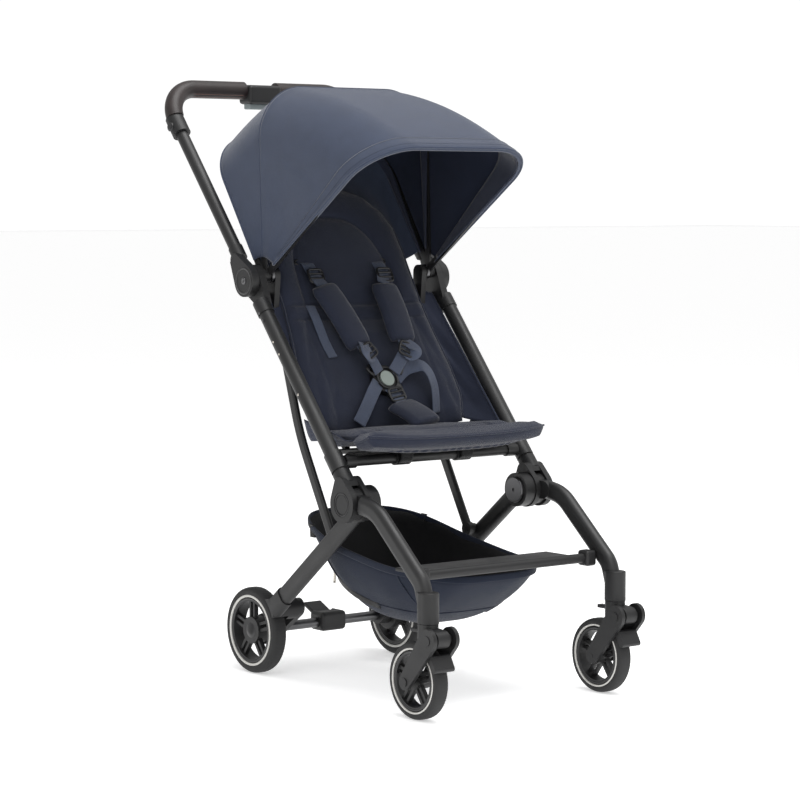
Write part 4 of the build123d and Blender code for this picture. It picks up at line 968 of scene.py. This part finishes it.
# ---------------------------------------------------------------- harness
def strap(name, points, width, finish, thickness=None, body_up=BACK_UP):
    """A flat strap along a smooth curve through (x, along, proud) points."""
    p = np.asarray(points, float)
    path = on_back(*smooth_path(p, 14 * (len(p) - 1)).T)
    height = sizes().webbing_thickness if thickness is None else thickness
    return carried(name, path, flat_oval(width, height, 16, 4.0), finish, up=body_up)


def strap_pad(name, top, bottom, width, thickness):
    """A stuffed sleeve round a strap: rounded corners, thin sewn edges and a thick middle."""
    u, v = np.meshgrid(np.linspace(0, 1, 45), np.linspace(-1, 1, 23), indexing="ij")
    top, bottom = np.asarray(top), np.asarray(bottom)
    axis = bottom[:2] - top[:2]
    turn = np.array([-axis[1], axis[0]]) / np.hypot(*axis)
    corner = 1 - np.abs(2 * u - 1) ** 9 * 0.22
    centre = top[None, None, :] + (bottom - top)[None, None, :] * u[..., None]
    x = centre[..., 0] + turn[0] * v * width / 2 * corner
    along = centre[..., 1] + turn[1] * v * width / 2 * corner
    proud = centre[..., 2] + 0.004 * np.sin(np.pi * u) - 0.004 * v**2
    grid = on_back(x, along, proud)
    sides = np.clip((1 - np.abs(v)) / 0.35, 0, 1)
    ends = np.clip((0.5 - np.abs(u - 0.5)) / 0.06, 0, 1)
    swell = sides ** 0.5 * ends ** 0.5
    half = HIDE + thickness / 2 * swell
    piece = pad_shell(name, grid, half, half, material("seat_cloth"))
    edge = (np.abs(v) > 0.95) | (u < 0.01) | (u > 0.99)
    pinned = np.zeros(len(piece.data.vertices), bool)
    pinned[: 2 * edge.size] = np.concatenate([edge, edge[:, ::-1]], 1).ravel()
    return puffed(piece, pinned, PAD_PRESSURE, 0.003)


def ladder_lock(name, centre, turn, wide=0.030, tall=0.026):
    """A strap adjuster: a rounded frame with two bars across it, moulded."""
    x, along, proud = centre
    c, s = np.cos(turn), np.sin(turn)

    def spot(a, b, lift):
        return on_back(x + a * c - b * s, along + a * s + b * c, proud + lift)

    ring = flat_oval(wide, tall, 40, 5.0)
    pieces = [carried("lock_frame", spot(ring[:, 0], ring[:, 1], 0.001), circle(0.0022, 8),
                      material("smooth_moulding"), up=BACK_UP, ring=True)]
    for level in (-0.0045, 0.0045):
        a = np.linspace(-wide / 2, wide / 2, 12)
        pieces.append(carried("lock_bar", spot(a, level + 0 * a, 0.0012 + 0 * a), circle(0.0018, 8),
                              material("smooth_moulding"), up=BACK_UP))
    return joined(name, pieces)


class STROLLER_OT_harness(bpy.types.Operator):
    """Shoulder pads and straps, adjusters, waist straps, the buckle's ring and the crotch pad."""

    bl_idname = "stroller.harness"
    bl_label = "Harness"

    def execute(self, context):
        size = sizes()
        wide = size.webbing_width
        cloth = material("webbing")
        pads = [
            strap_pad("pad_left", (0.060, 0.262, 0.048), (0.056, 0.146, 0.056), 0.056, 0.015),
            strap_pad("pad_right", (-0.072, 0.262, 0.048), (-0.040, 0.138, 0.056), 0.056, 0.015),
        ]
        for pad, name in zip(pads, ("shoulder_pad_left", "shoulder_pad_right")):
            pad.name = name
            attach(pad, "backrest")
        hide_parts("shoulder_pads")
        upper, lower = [], []
        for side, x_pad, x_end in ((1, 0.060, 0.054), (-1, -0.072, -0.043)):
            upper.append(strap("strap", [(side * 0.076, 0.322, 0.020), (side * 0.076, 0.312, 0.031),
                                         (side * 0.075, 0.290, 0.036), (x_pad, 0.262, 0.048)],
                               wide * 1.1, cloth))
            upper.append(ladder_lock("adjuster", (side * 0.075, 0.283, 0.041), 0.0))
            lower.append(strap("strap", [(x_end, 0.150, 0.056), (x_end * 0.9, 0.128, 0.062),
                                         (x_end * 0.6, 0.108, 0.058), (side * 0.016, 0.090, 0.052)],
                               wide * 0.95, cloth))
            lower.append(strap("strap", [(x_end * 0.95, 0.140, 0.066), (x_end * 1.1, 0.118, 0.076),
                                         (x_end * 0.9, 0.112, 0.068), (x_end * 0.8, 0.126, 0.062)],
                               wide * 0.9, cloth))
            lower.append(ladder_lock("adjuster", (x_end * 0.86, 0.124, 0.067), side * -0.5))
            turn = side * -0.6
            tongue = ladder_lock("adjuster", (side * 0.026, 0.098, 0.050), turn, 0.022, 0.018)
            lower.append(tongue)
        lower.append(strap("strap", [(-0.098, 0.232, 0.030), (-0.099, 0.200, 0.036), (-0.096, 0.160, 0.036),
                                     (-0.092, 0.128, 0.039)], wide * 0.8, cloth))
        shoulder = joined("shoulder_webbing", upper + lower)
        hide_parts("shoulder_straps")
        on_back(0.0, 0.15, 0.05)
        on_back(0.0, 0.095, 0.05)
        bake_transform(shoulder)
        waist = [
            strap("strap", [(-0.020, 0.074, 0.046), (-0.038, 0.056, 0.047), (-0.062, 0.026, 0.042),
                            (-0.080, 0.004, 0.036)], wide, cloth),
            strap("strap", [(0.022, 0.080, 0.046), (0.048, 0.096, 0.052), (0.076, 0.092, 0.062),
                            (0.090, 0.060, 0.056), (0.094, 0.016, 0.034)],
                  wide, cloth, body_up=(0.3, -0.85, 0.4)),
            strap("strap", [(0.0, 0.062, 0.046), (0.004, 0.044, 0.052), (0.008, 0.022, 0.060)], wide, cloth),
            ladder_lock("buckle_frame", (0.004, 0.046, 0.054), 0.15, 0.031, 0.024),
        ]
        belts = joined("waist_webbing", waist)
        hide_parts("waist_straps")
        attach(belts, "frame")
        crotch = strap_pad("crotch_pad", (0.006, 0.028, 0.052), (0.016, -0.030, 0.098), 0.062, 0.016)
        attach(crotch, "frame")
        ring = circle(0.0205, 64)
        path = on_back(ring[:, 0], BUCKLE_LEVEL + ring[:, 1], BUCKLE_PROUD + 0.0005)
        rim = [carried("buckle_rim", path, circle(0.0017, 10), material("smooth_moulding"), up=BACK_UP,
                       ring=True)]
        for angle in np.radians((35, 145, 215, 325, 270)):
            reach = np.linspace(0.019, 0.034, 12)
            spine = on_back(reach * np.cos(angle), BUCKLE_LEVEL + reach * np.sin(angle),
                            BUCKLE_PROUD - 0.005 - 0.10 * (reach - 0.019))
            taper = np.interp(reach, [0.019, 0.030, 0.034], [1.0, 0.82, 0.62])
            rim.append(carried("buckle_arm", spine, flat_oval(0.016, 0.008, 16, 4.0),
                               material("smooth_moulding"), up=BACK_UP, sizes=taper))
        ring = joined("buckle_arms", rim)
        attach(ring, "frame")
        return {"FINISHED"}


# ---------------------------------------------------------------- basket
BASKET_RIM_HALF = np.array([0.136, 0.199])
BASKET_FLOOR_HALF = np.array([0.118, 0.122])
BASKET_RIM_Y, BASKET_FLOOR_Y = -0.093, -0.104
BASKET_FLOOR_Z = 0.1125


def rim_level(y):
    """Height of the basket's rim, which rises towards the back."""
    return 0.206 + 0.062 * (y + 0.292) / 0.386


def basket_point(turn, level, lift=0.0):
    """A point of the bag: turn goes round it from the left, and level from its floor's middle to its rim.

    Its wall is a bowl, reach = sin^a and height = 1 - cos^b of the level, and its outline a superellipse."""
    turn, level = np.broadcast_arrays(np.asarray(turn, float), np.asarray(level, float))
    reach = np.sin(level * np.pi / 2) ** 0.62
    height = 1 - np.cos(level * np.pi / 2) ** 0.95
    half = BASKET_FLOOR_HALF.reshape(2, *[1] * level.ndim)
    grow = (BASKET_RIM_HALF - BASKET_FLOOR_HALF).reshape(half.shape)
    half = (half + grow * height) * reach + lift
    c, s = np.cos(turn), np.sin(turn)
    power = 2 / 3.4
    x = np.sign(c) * np.abs(c) ** power * half[0]
    y = np.sign(s) * np.abs(s) ** power * half[1] + BASKET_FLOOR_Y + (BASKET_RIM_Y - BASKET_FLOOR_Y) * height
    flare = np.clip(s, 0, 1) ** 2 * (np.clip(level - 0.72, 0, 1) / 0.28) ** 1.6
    y = y + 0.026 * flare
    z = BASKET_FLOOR_Z + (rim_level(y) - BASKET_FLOOR_Z) * height + 0.004 * flare
    scallop = 0.010 * np.abs(c) ** 8 * np.clip(level - 0.6, 0, 1) / 0.4
    return np.stack([x, y, z - scallop], -1)


def even_turns(count):
    """Turns that step evenly round the bag's outline, from a fine table of its length."""
    turn = np.linspace(0, 2 * np.pi, 4001)
    line = basket_point(turn, 1.0)
    length = np.concatenate([[0], np.cumsum(np.linalg.norm(np.diff(line, axis=0), axis=1))])
    return np.interp(np.linspace(0, length[-1], count, endpoint=False), length, turn)


class STROLLER_OT_basket(bpy.types.Operator):
    """The basket: a cloth bag with a black lining, bound rim, piped seams, a zip and the tabs holding it."""

    bl_idname = "stroller.basket"
    bl_label = "Basket"

    def execute(self, context):
        turns = even_turns(150)
        levels = 1 - np.cos(np.linspace(0.02, 1, 44) * np.pi / 2) ** 0.8
        grid = basket_point(turns[None], levels[:, None])
        crumple = 0.0016 * np.sin(turns * 13)[None] * np.sin(levels * 7)[:, None] * levels[:, None]
        outward = unit((grid - [0, BASKET_RIM_Y, 0.19]) * [1, 1, 0])
        grid = grid + outward * crumple[..., None]
        inner = grid - outward * 0.0016 + np.array([0, 0, 0.0014])
        both = np.concatenate([grid, inner[::-1]])
        rows = len(levels)
        bag = shell("basket_bag", both, [material("basket_cloth"), material("black_cloth")],
                    layer=lambda row, column: np.where(row < rows - 1, 0, 1))
        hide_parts("basket")
        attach(bag, "frame")
        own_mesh(bag)
        trims = [carried("rim", basket_point(turns, 1.0), flat_oval(0.0042, 0.012, 14, 3.0),
                         material("basket_cloth"), ring=True)]
        share = np.linspace(0, 1, 60)
        for side in (1, -1):
            for start, end in ((-0.30, -1.02), (0.42, 1.05)):
                turn = start + (end - start) * share**1.4
                path = basket_point(turn if side == 1 else np.pi - turn, 1 - 0.62 * share, 0.0008)
                trims.append(carried("seam", path, circle(0.0013, 6), material("basket_cloth"),
                                     up=(0.1, 0.2, 1)))
        path = basket_point(turns, 0.50, 0.0006)
        trims.append(carried("floor_seam", path, circle(0.0011, 6), material("basket_cloth"), ring=True))
        trim = joined("basket_trim", trims)
        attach(trim, "frame")
        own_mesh(trim)
        zips = []
        turn = np.pi - (0.95 - 0.95 * share)
        path = basket_point(turn, 0.70 - 0.22 * share, 0.0018)
        zips.append(carried("zip_tape", path, flat_oval(0.012, 0.0016, 12, 4.0), material("zip_teeth"),
                            up=(-1, 0.2, -0.4)))
        pull = path[2] + np.array([-0.003, 0.0, 0.0])
        blade = np.stack([pull + np.array([-0.0005, 0.0, -0.020]) * s for s in np.linspace(0, 1, 8)])
        zips.append(carried("zip_pull", blade, flat_oval(0.0018, 0.007, 12, 3.0), material("bright_metal"),
                            up=(0, 1, 0)))
        closing = joined("basket_zip", zips)
        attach(closing, "frame")
        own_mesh(closing)
        tabs = []
        for side in (1, -1):
            for turn in (0.62, -0.62):
                spot = basket_point(turn if side == 1 else np.pi - turn, 1.0)
                end = spot + np.array([side * 0.004, 0.0, 0.007])
                line = smooth_path([spot - [side * 0.001, 0, 0.016], spot, end], 14)
                tabs.append(carried("tab", line, flat_oval(0.0018, 0.016, 12, 4.0),
                                    material("black_webbing"), up=(0, 1, 0.2)))
        held = joined("basket_tabs", tabs)
        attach(held, "frame")
        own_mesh(held)
        return {"FINISHED"}


# ---------------------------------------------------------------- wheels
def tyre_surface(name, centre, outer, seat, width, tread):
    """A tyre: a rounded section turned about its axle, its tread cut by slanted grooves.

    radius = section radius - depth x groove, where groove is a narrow ridge of a wave round the tyre that
    leans with the distance from the middle plane."""
    section = flat_oval(width, (outer - seat), 36, 3.2)
    around = np.linspace(0, 2 * np.pi, 288, endpoint=False)[:, None]
    x = section[None, :, 0]
    r = (outer + seat) / 2 + section[None, :, 1]
    top = np.clip((r - outer + 0.004) / 0.004, 0, 1)
    lean = np.abs(x) / width * 2.2
    wave = np.sin(36 * around + lean * 4)
    groove = np.clip(1 - np.abs(wave) / 0.35, 0, 1) * top * np.clip(np.abs(x) / width * 6 - 0.6, 0, 1)
    r = r - tread * groove
    grid = np.stack([x + 0 * r, r * np.cos(around), r * np.sin(around)], -1) + centre
    return shell(name, grid, material("tyre"), ring=True)


class STROLLER_OT_wheels(bpy.types.Operator):
    """Tyres with tread, the pale ring on each face, rim beads and hub discs."""

    bl_idname = "stroller.wheels"
    bl_label = "Wheels"

    def execute(self, context):
        for end, outer, seat, width, tread, ring, ring_wide, hub in (
            ("front", 0.0625, 0.0485, 0.026, 0.0007, 0.0513, 0.0034, 0.011),
            ("rear", 0.0750, 0.0570, 0.028, 0.0012, 0.0600, 0.0046, 0.0225),
        ):
            for side, name in SIDES:
                low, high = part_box(f"{end}_tyre_{name}")
                centre = np.array((low + high) / 2)
                body = f"{end}_wheel_{name}"
                tyre = tyre_surface(f"{end}_tread_{name}", centre, outer, seat - 0.0004, width, tread)
                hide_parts(f"{end}_tyre_{name}")
                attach(tyre, body)
                trims = []
                for face in (1, -1):
                    edge = width / 2
                    outline = [(ring - ring_wide / 2, edge - 0.0022),
                               (ring - ring_wide / 2 + 0.0004, edge + 0.0002),
                               (ring, edge + 0.0007), (ring + ring_wide / 2 - 0.0004, edge + 0.0002),
                               (ring + ring_wide / 2, edge - 0.0022)]
                    trims.append(turned_ring("stripe", outline, centre, material("stripe"), face))
                    bead = [(seat - 0.0045, edge - 0.0045), (seat - 0.0042, edge - 0.0016),
                            (seat - 0.002, edge - 0.0008), (seat + 0.0004, edge - 0.0016),
                            (seat + 0.0006, edge - 0.0045)]
                    trims.append(turned_ring("bead", bead, centre, material("smooth_moulding"), face))
                    disc = [(0.0, edge - 0.0018), (hub * 0.55, edge - 0.0016), (hub * 0.6, edge - 0.0024),
                            (hub * 0.88, edge - 0.0022), (hub, edge - 0.0034), (hub, edge - 0.0052),
                            (0.0, edge - 0.0052)]
                    if end == "rear" and face == side:
                        trims.append(turned("disc", disc, centre, material("smooth_moulding"), sign=face))
                trim = joined(f"{end}_wheel_trim_{name}", trims)
                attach(trim, body)
        return {"FINISHED"}


def turned_ring(name, outline, centre, finish, sign, count=96):
    """A closed outline of (radius, height) points turned about the axle."""
    turn = np.linspace(0, 2 * np.pi, count, endpoint=False)[:, None]
    outline = np.asarray(outline, float)
    r, h = outline[None, :, 0], outline[None, :, 1] * sign
    grid = np.stack([h + 0 * turn, r * np.cos(turn), r * np.sin(turn)], -1) + centre
    return shell(name, grid, finish, ring=True)


# ---------------------------------------------------------------- frame trim
def hex_screw(name, centre, radius, proud, side, finish):
    """A screw's round head with a six-sided socket: the socket's radius follows a hexagon."""
    turn = np.linspace(0, 2 * np.pi, 48, endpoint=False)
    hexagon = np.cos(np.pi / 6) / np.cos((turn % (np.pi / 3)) - np.pi / 6)
    rows = [(0.02, -0.25, 1), (0.44, -0.25, 1), (0.45, 0.92, 1), (0.52, 1.0, 0), (0.86, 0.96, 0),
            (0.98, 0.6, 0), (1.0, 0.0, 0)]
    grid = []
    for share, height, flats in rows:
        r = radius * share * (hexagon if flats else np.ones_like(turn))
        grid.append(np.stack([np.full_like(turn, side * proud * height), r * np.cos(turn),
                              r * np.sin(turn)], 1))
    return shell(name, np.stack(grid) + np.asarray(centre), finish)


class STROLLER_OT_trim(bpy.types.Operator):
    """Leather seam on the grip, lens buttons, screws and rivets of the frame."""

    bl_idname = "stroller.trim"
    bl_label = "Frame trim"

    def execute(self, context):
        size = sizes()
        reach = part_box("leather_grip")[1][0] - 0.062
        x = np.linspace(-reach, reach, 3000)
        rows = []
        for angle in (-146, -124):
            a = np.radians(angle)
            spot = HANDLE + 0.0163 * np.array([np.cos(a), np.sin(a)])
            x_left, x_right = x[x < -0.042], x[x > 0.042]
            for part in (x_left, x_right):
                path = yz(part, np.broadcast_to(spot, (len(part), 2)))
                rows.append(stitch_row(path, size.stitch * 0.9, material("thread"),
                                       (0, np.cos(a), np.sin(a)), 0.0005))
        a = np.radians(-135)
        spot = HANDLE + 0.0158 * np.array([np.cos(a), np.sin(a)])
        for sign in (1, -1):
            line = np.linspace(0.042, reach, 60) * sign
            path = yz(line, np.broadcast_to(spot, (60, 2)))
            rows.append(carried("seam", path, circle(0.0009, 8), material("leather")))
        seam = joined("grip_stitches", rows)
        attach(seam, "handle")
        upper, lower, hubs = [], [], []
        tube = np.array([np.cos(TUBE_SLOPE), np.sin(TUBE_SLOPE)])
        for side, _ in SIDES:
            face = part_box("upper_elbows")[1][0]
            upper.append(hex_screw("screw", yz(side * face, on_tube(ELBOW_LEVEL)), 0.0062, 0.0014, side,
                                   material("steel")))
            outline = [(0.0, 0.0006), (0.018, 0.0006), (0.0188, 0.0001), (0.0188, -0.001), (0.0, -0.001)]
            ring = [(0.0195, -0.0006), (0.0195, 0.0005), (0.0215, 0.0007), (0.0235, 0.0005),
                    (0.0235, -0.0006)]
            upper.append(turned_ring("cover_ring", ring, yz(side * face, on_tube(ELBOW_LEVEL)),
                                     material("smooth_moulding"), side))
            collar_low, collar_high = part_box("handle_collars")
            collar = np.array([(collar_low[1] + collar_high[1]) / 2, (collar_low[2] + collar_high[2]) / 2])
            upper.append(turned("button", np.array(outline) * [0.45, 3.0],
                                yz(side * (collar_high[0] - 0.0006), collar),
                                material("smooth_moulding"), sign=side))
            elbow = on_tube(0.655)
            for step in (0.0, 0.016):
                spot = elbow - tube * (0.030 + step)
                lower.append(hex_screw("screw", yz(side * (TUBE_X + 0.0142), spot), 0.0026, 0.0008, side,
                                       material("steel")))
            for level in (0.585, 0.565, 0.50):
                spot = on_tube(level)
                lower.append(hex_screw("screw", yz(side * (TUBE_X + 0.0129), spot), 0.0020, 0.0008, side,
                                       material("bright_metal")))
            cap_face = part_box("hub_caps")[1][0]
            groove = [(0.0172, -0.0006), (0.0172, 0.0006), (0.0182, 0.0009), (0.0192, 0.0006),
                      (0.0192, -0.0006)]
            hubs.append(turned_ring("cap_groove", groove, yz(side * cap_face, HUB),
                                    material("smooth_moulding"), side))
        for name, pieces, body in (("elbow_trim", upper, "handle"), ("tube_rivets", lower, "frame"),
                                   ("hub_rings", hubs, "frame")):
            part = joined(name, pieces)
            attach(part, body)
        return {"FINISHED"}


# ---------------------------------------------------------------- stage
class STROLLER_OT_stage(bpy.types.Operator):
    """Pale floor and backdrop, soft lights and the camera."""

    bl_idname = "stroller.stage"
    bl_label = "Stage"

    def execute(self, context):
        scene = context.scene
        scene.view_settings.view_transform = "Standard"
        floor, tree, shader, place = base_material("floor")
        cloud = node(tree, "TexNoise", values={"Scale": 3.0, "Detail": 2.0}, links={"Vector": place})
        mask = stretched(tree, cloud.outputs[0], 0.3, 0.7)
        tree.links.new(colour_mix(tree, (0.95, 0.95, 0.95), 0.995, mask), shader.inputs["Base Color"])
        shader.inputs["Emission Color"].default_value = (1, 1, 1, 1)
        shader.inputs["Emission Strength"].default_value = 0.45
        shader.inputs["Roughness"].default_value = 0.9
        shader.inputs["Specular IOR Level"].default_value = 0.1
        along, across = np.meshgrid(np.linspace(-60, 60, 20), np.linspace(-60, 60, 20), indexing="ij")
        grid = np.stack([across, along, 0 * along - 0.0008], -1)
        sheet_shell("floor", grid, 0.001, floor)
        world = bpy.data.worlds.new("studio")
        world.use_nodes = True
        world.node_tree.nodes["Background"].inputs[0].default_value = (1, 1, 1, 1)
        seen = world.node_tree.nodes.new("ShaderNodeLightPath")
        level = world.node_tree.nodes.new("ShaderNodeMath")
        level.operation = "MULTIPLY_ADD"
        level.inputs[1].default_value = 0.48
        level.inputs[2].default_value = 0.56
        world.node_tree.links.new(seen.outputs["Is Camera Ray"], level.inputs[0])
        world.node_tree.links.new(level.outputs[0], world.node_tree.nodes["Background"].inputs[1])
        scene.world = world
        target = Vector((0.0, -0.05, 0.5))
        for name, spot, width, power in (
            ("overhead", (0.2, -0.7, 3.6), 2.4, 95.0),
            ("key", (-2.4, -2.2, 3.0), 2.0, 30.0),
            ("front", (-0.6, -4.0, 1.4), 2.4, 14.0),
            ("side", (3.4, -0.8, 1.8), 1.8, 12.0),
        ):
            data = bpy.data.lights.new(name, "AREA")
            data.size = width
            data.energy = power
            lamp = bpy.data.objects.new(name, data)
            lamp.location = spot
            lamp.rotation_euler = (target - Vector(spot)).to_track_quat("-Z", "Y").to_euler()
            scene.collection.objects.link(lamp)
        lens = bpy.data.cameras.new("camera")
        lens.lens = 119.2
        lens.sensor_width = 36.0
        camera = bpy.data.objects.new("camera", lens)
        aim = Vector((-0.017, -0.051, 0.484))
        azimuth, elevation, distance = CAMERA_TURN, CAMERA_RISE, CAMERA_DISTANCE
        back = Vector((np.sin(azimuth) * np.cos(elevation), -np.cos(azimuth) * np.cos(elevation),
                       np.sin(elevation)))
        camera.location = aim + back * distance
        camera.rotation_euler = (-back).to_track_quat("-Z", "Y").to_euler()
        scene.collection.objects.link(camera)
        scene.camera = camera
        return {"FINISHED"}


# ---------------------------------------------------------------- panel
STEPS = ("stage", "finishes", "canopy", "backrest", "seat", "sides", "leg_rest", "harness", "basket",
         "wheels", "trim")


class STROLLER_PT_panel(bpy.types.Panel):
    """Lists the stroller's pieces in the sidebar."""

    bl_label = "Stroller"
    bl_idname = "STROLLER_PT_panel"
    bl_space_type = "VIEW_3D"
    bl_region_type = "UI"
    bl_category = "Stroller"

    def draw(self, context):
        for step in STEPS:
            self.layout.operator("stroller." + step)
        for group in (context.scene.stroller_sizes, context.scene.stroller_colours):
            for name in group.bl_rna.properties.keys():
                if name not in ("rna_type", "name"):
                    self.layout.prop(group, name)


CLASSES = (
    StrollerColours, StrollerSizes, STROLLER_OT_stage, STROLLER_OT_finishes, STROLLER_OT_canopy,
    STROLLER_OT_backrest, STROLLER_OT_seat, STROLLER_OT_sides, STROLLER_OT_leg_rest, STROLLER_OT_harness,
    STROLLER_OT_basket, STROLLER_OT_wheels, STROLLER_OT_trim, STROLLER_PT_panel,
)


def register():
    for item in CLASSES:
        bpy.utils.register_class(item)
    bpy.types.Scene.stroller_colours = bpy.props.PointerProperty(type=StrollerColours)
    bpy.types.Scene.stroller_sizes = bpy.props.PointerProperty(type=StrollerSizes)


def unregister():
    del bpy.types.Scene.stroller_sizes
    del bpy.types.Scene.stroller_colours
    for item in reversed(CLASSES):
        bpy.utils.unregister_class(item)


def main():
    """Makes every piece in order."""
    register()
    for step in STEPS:
        getattr(bpy.ops.stroller, step)()


if __name__ == "__main__":
    main()
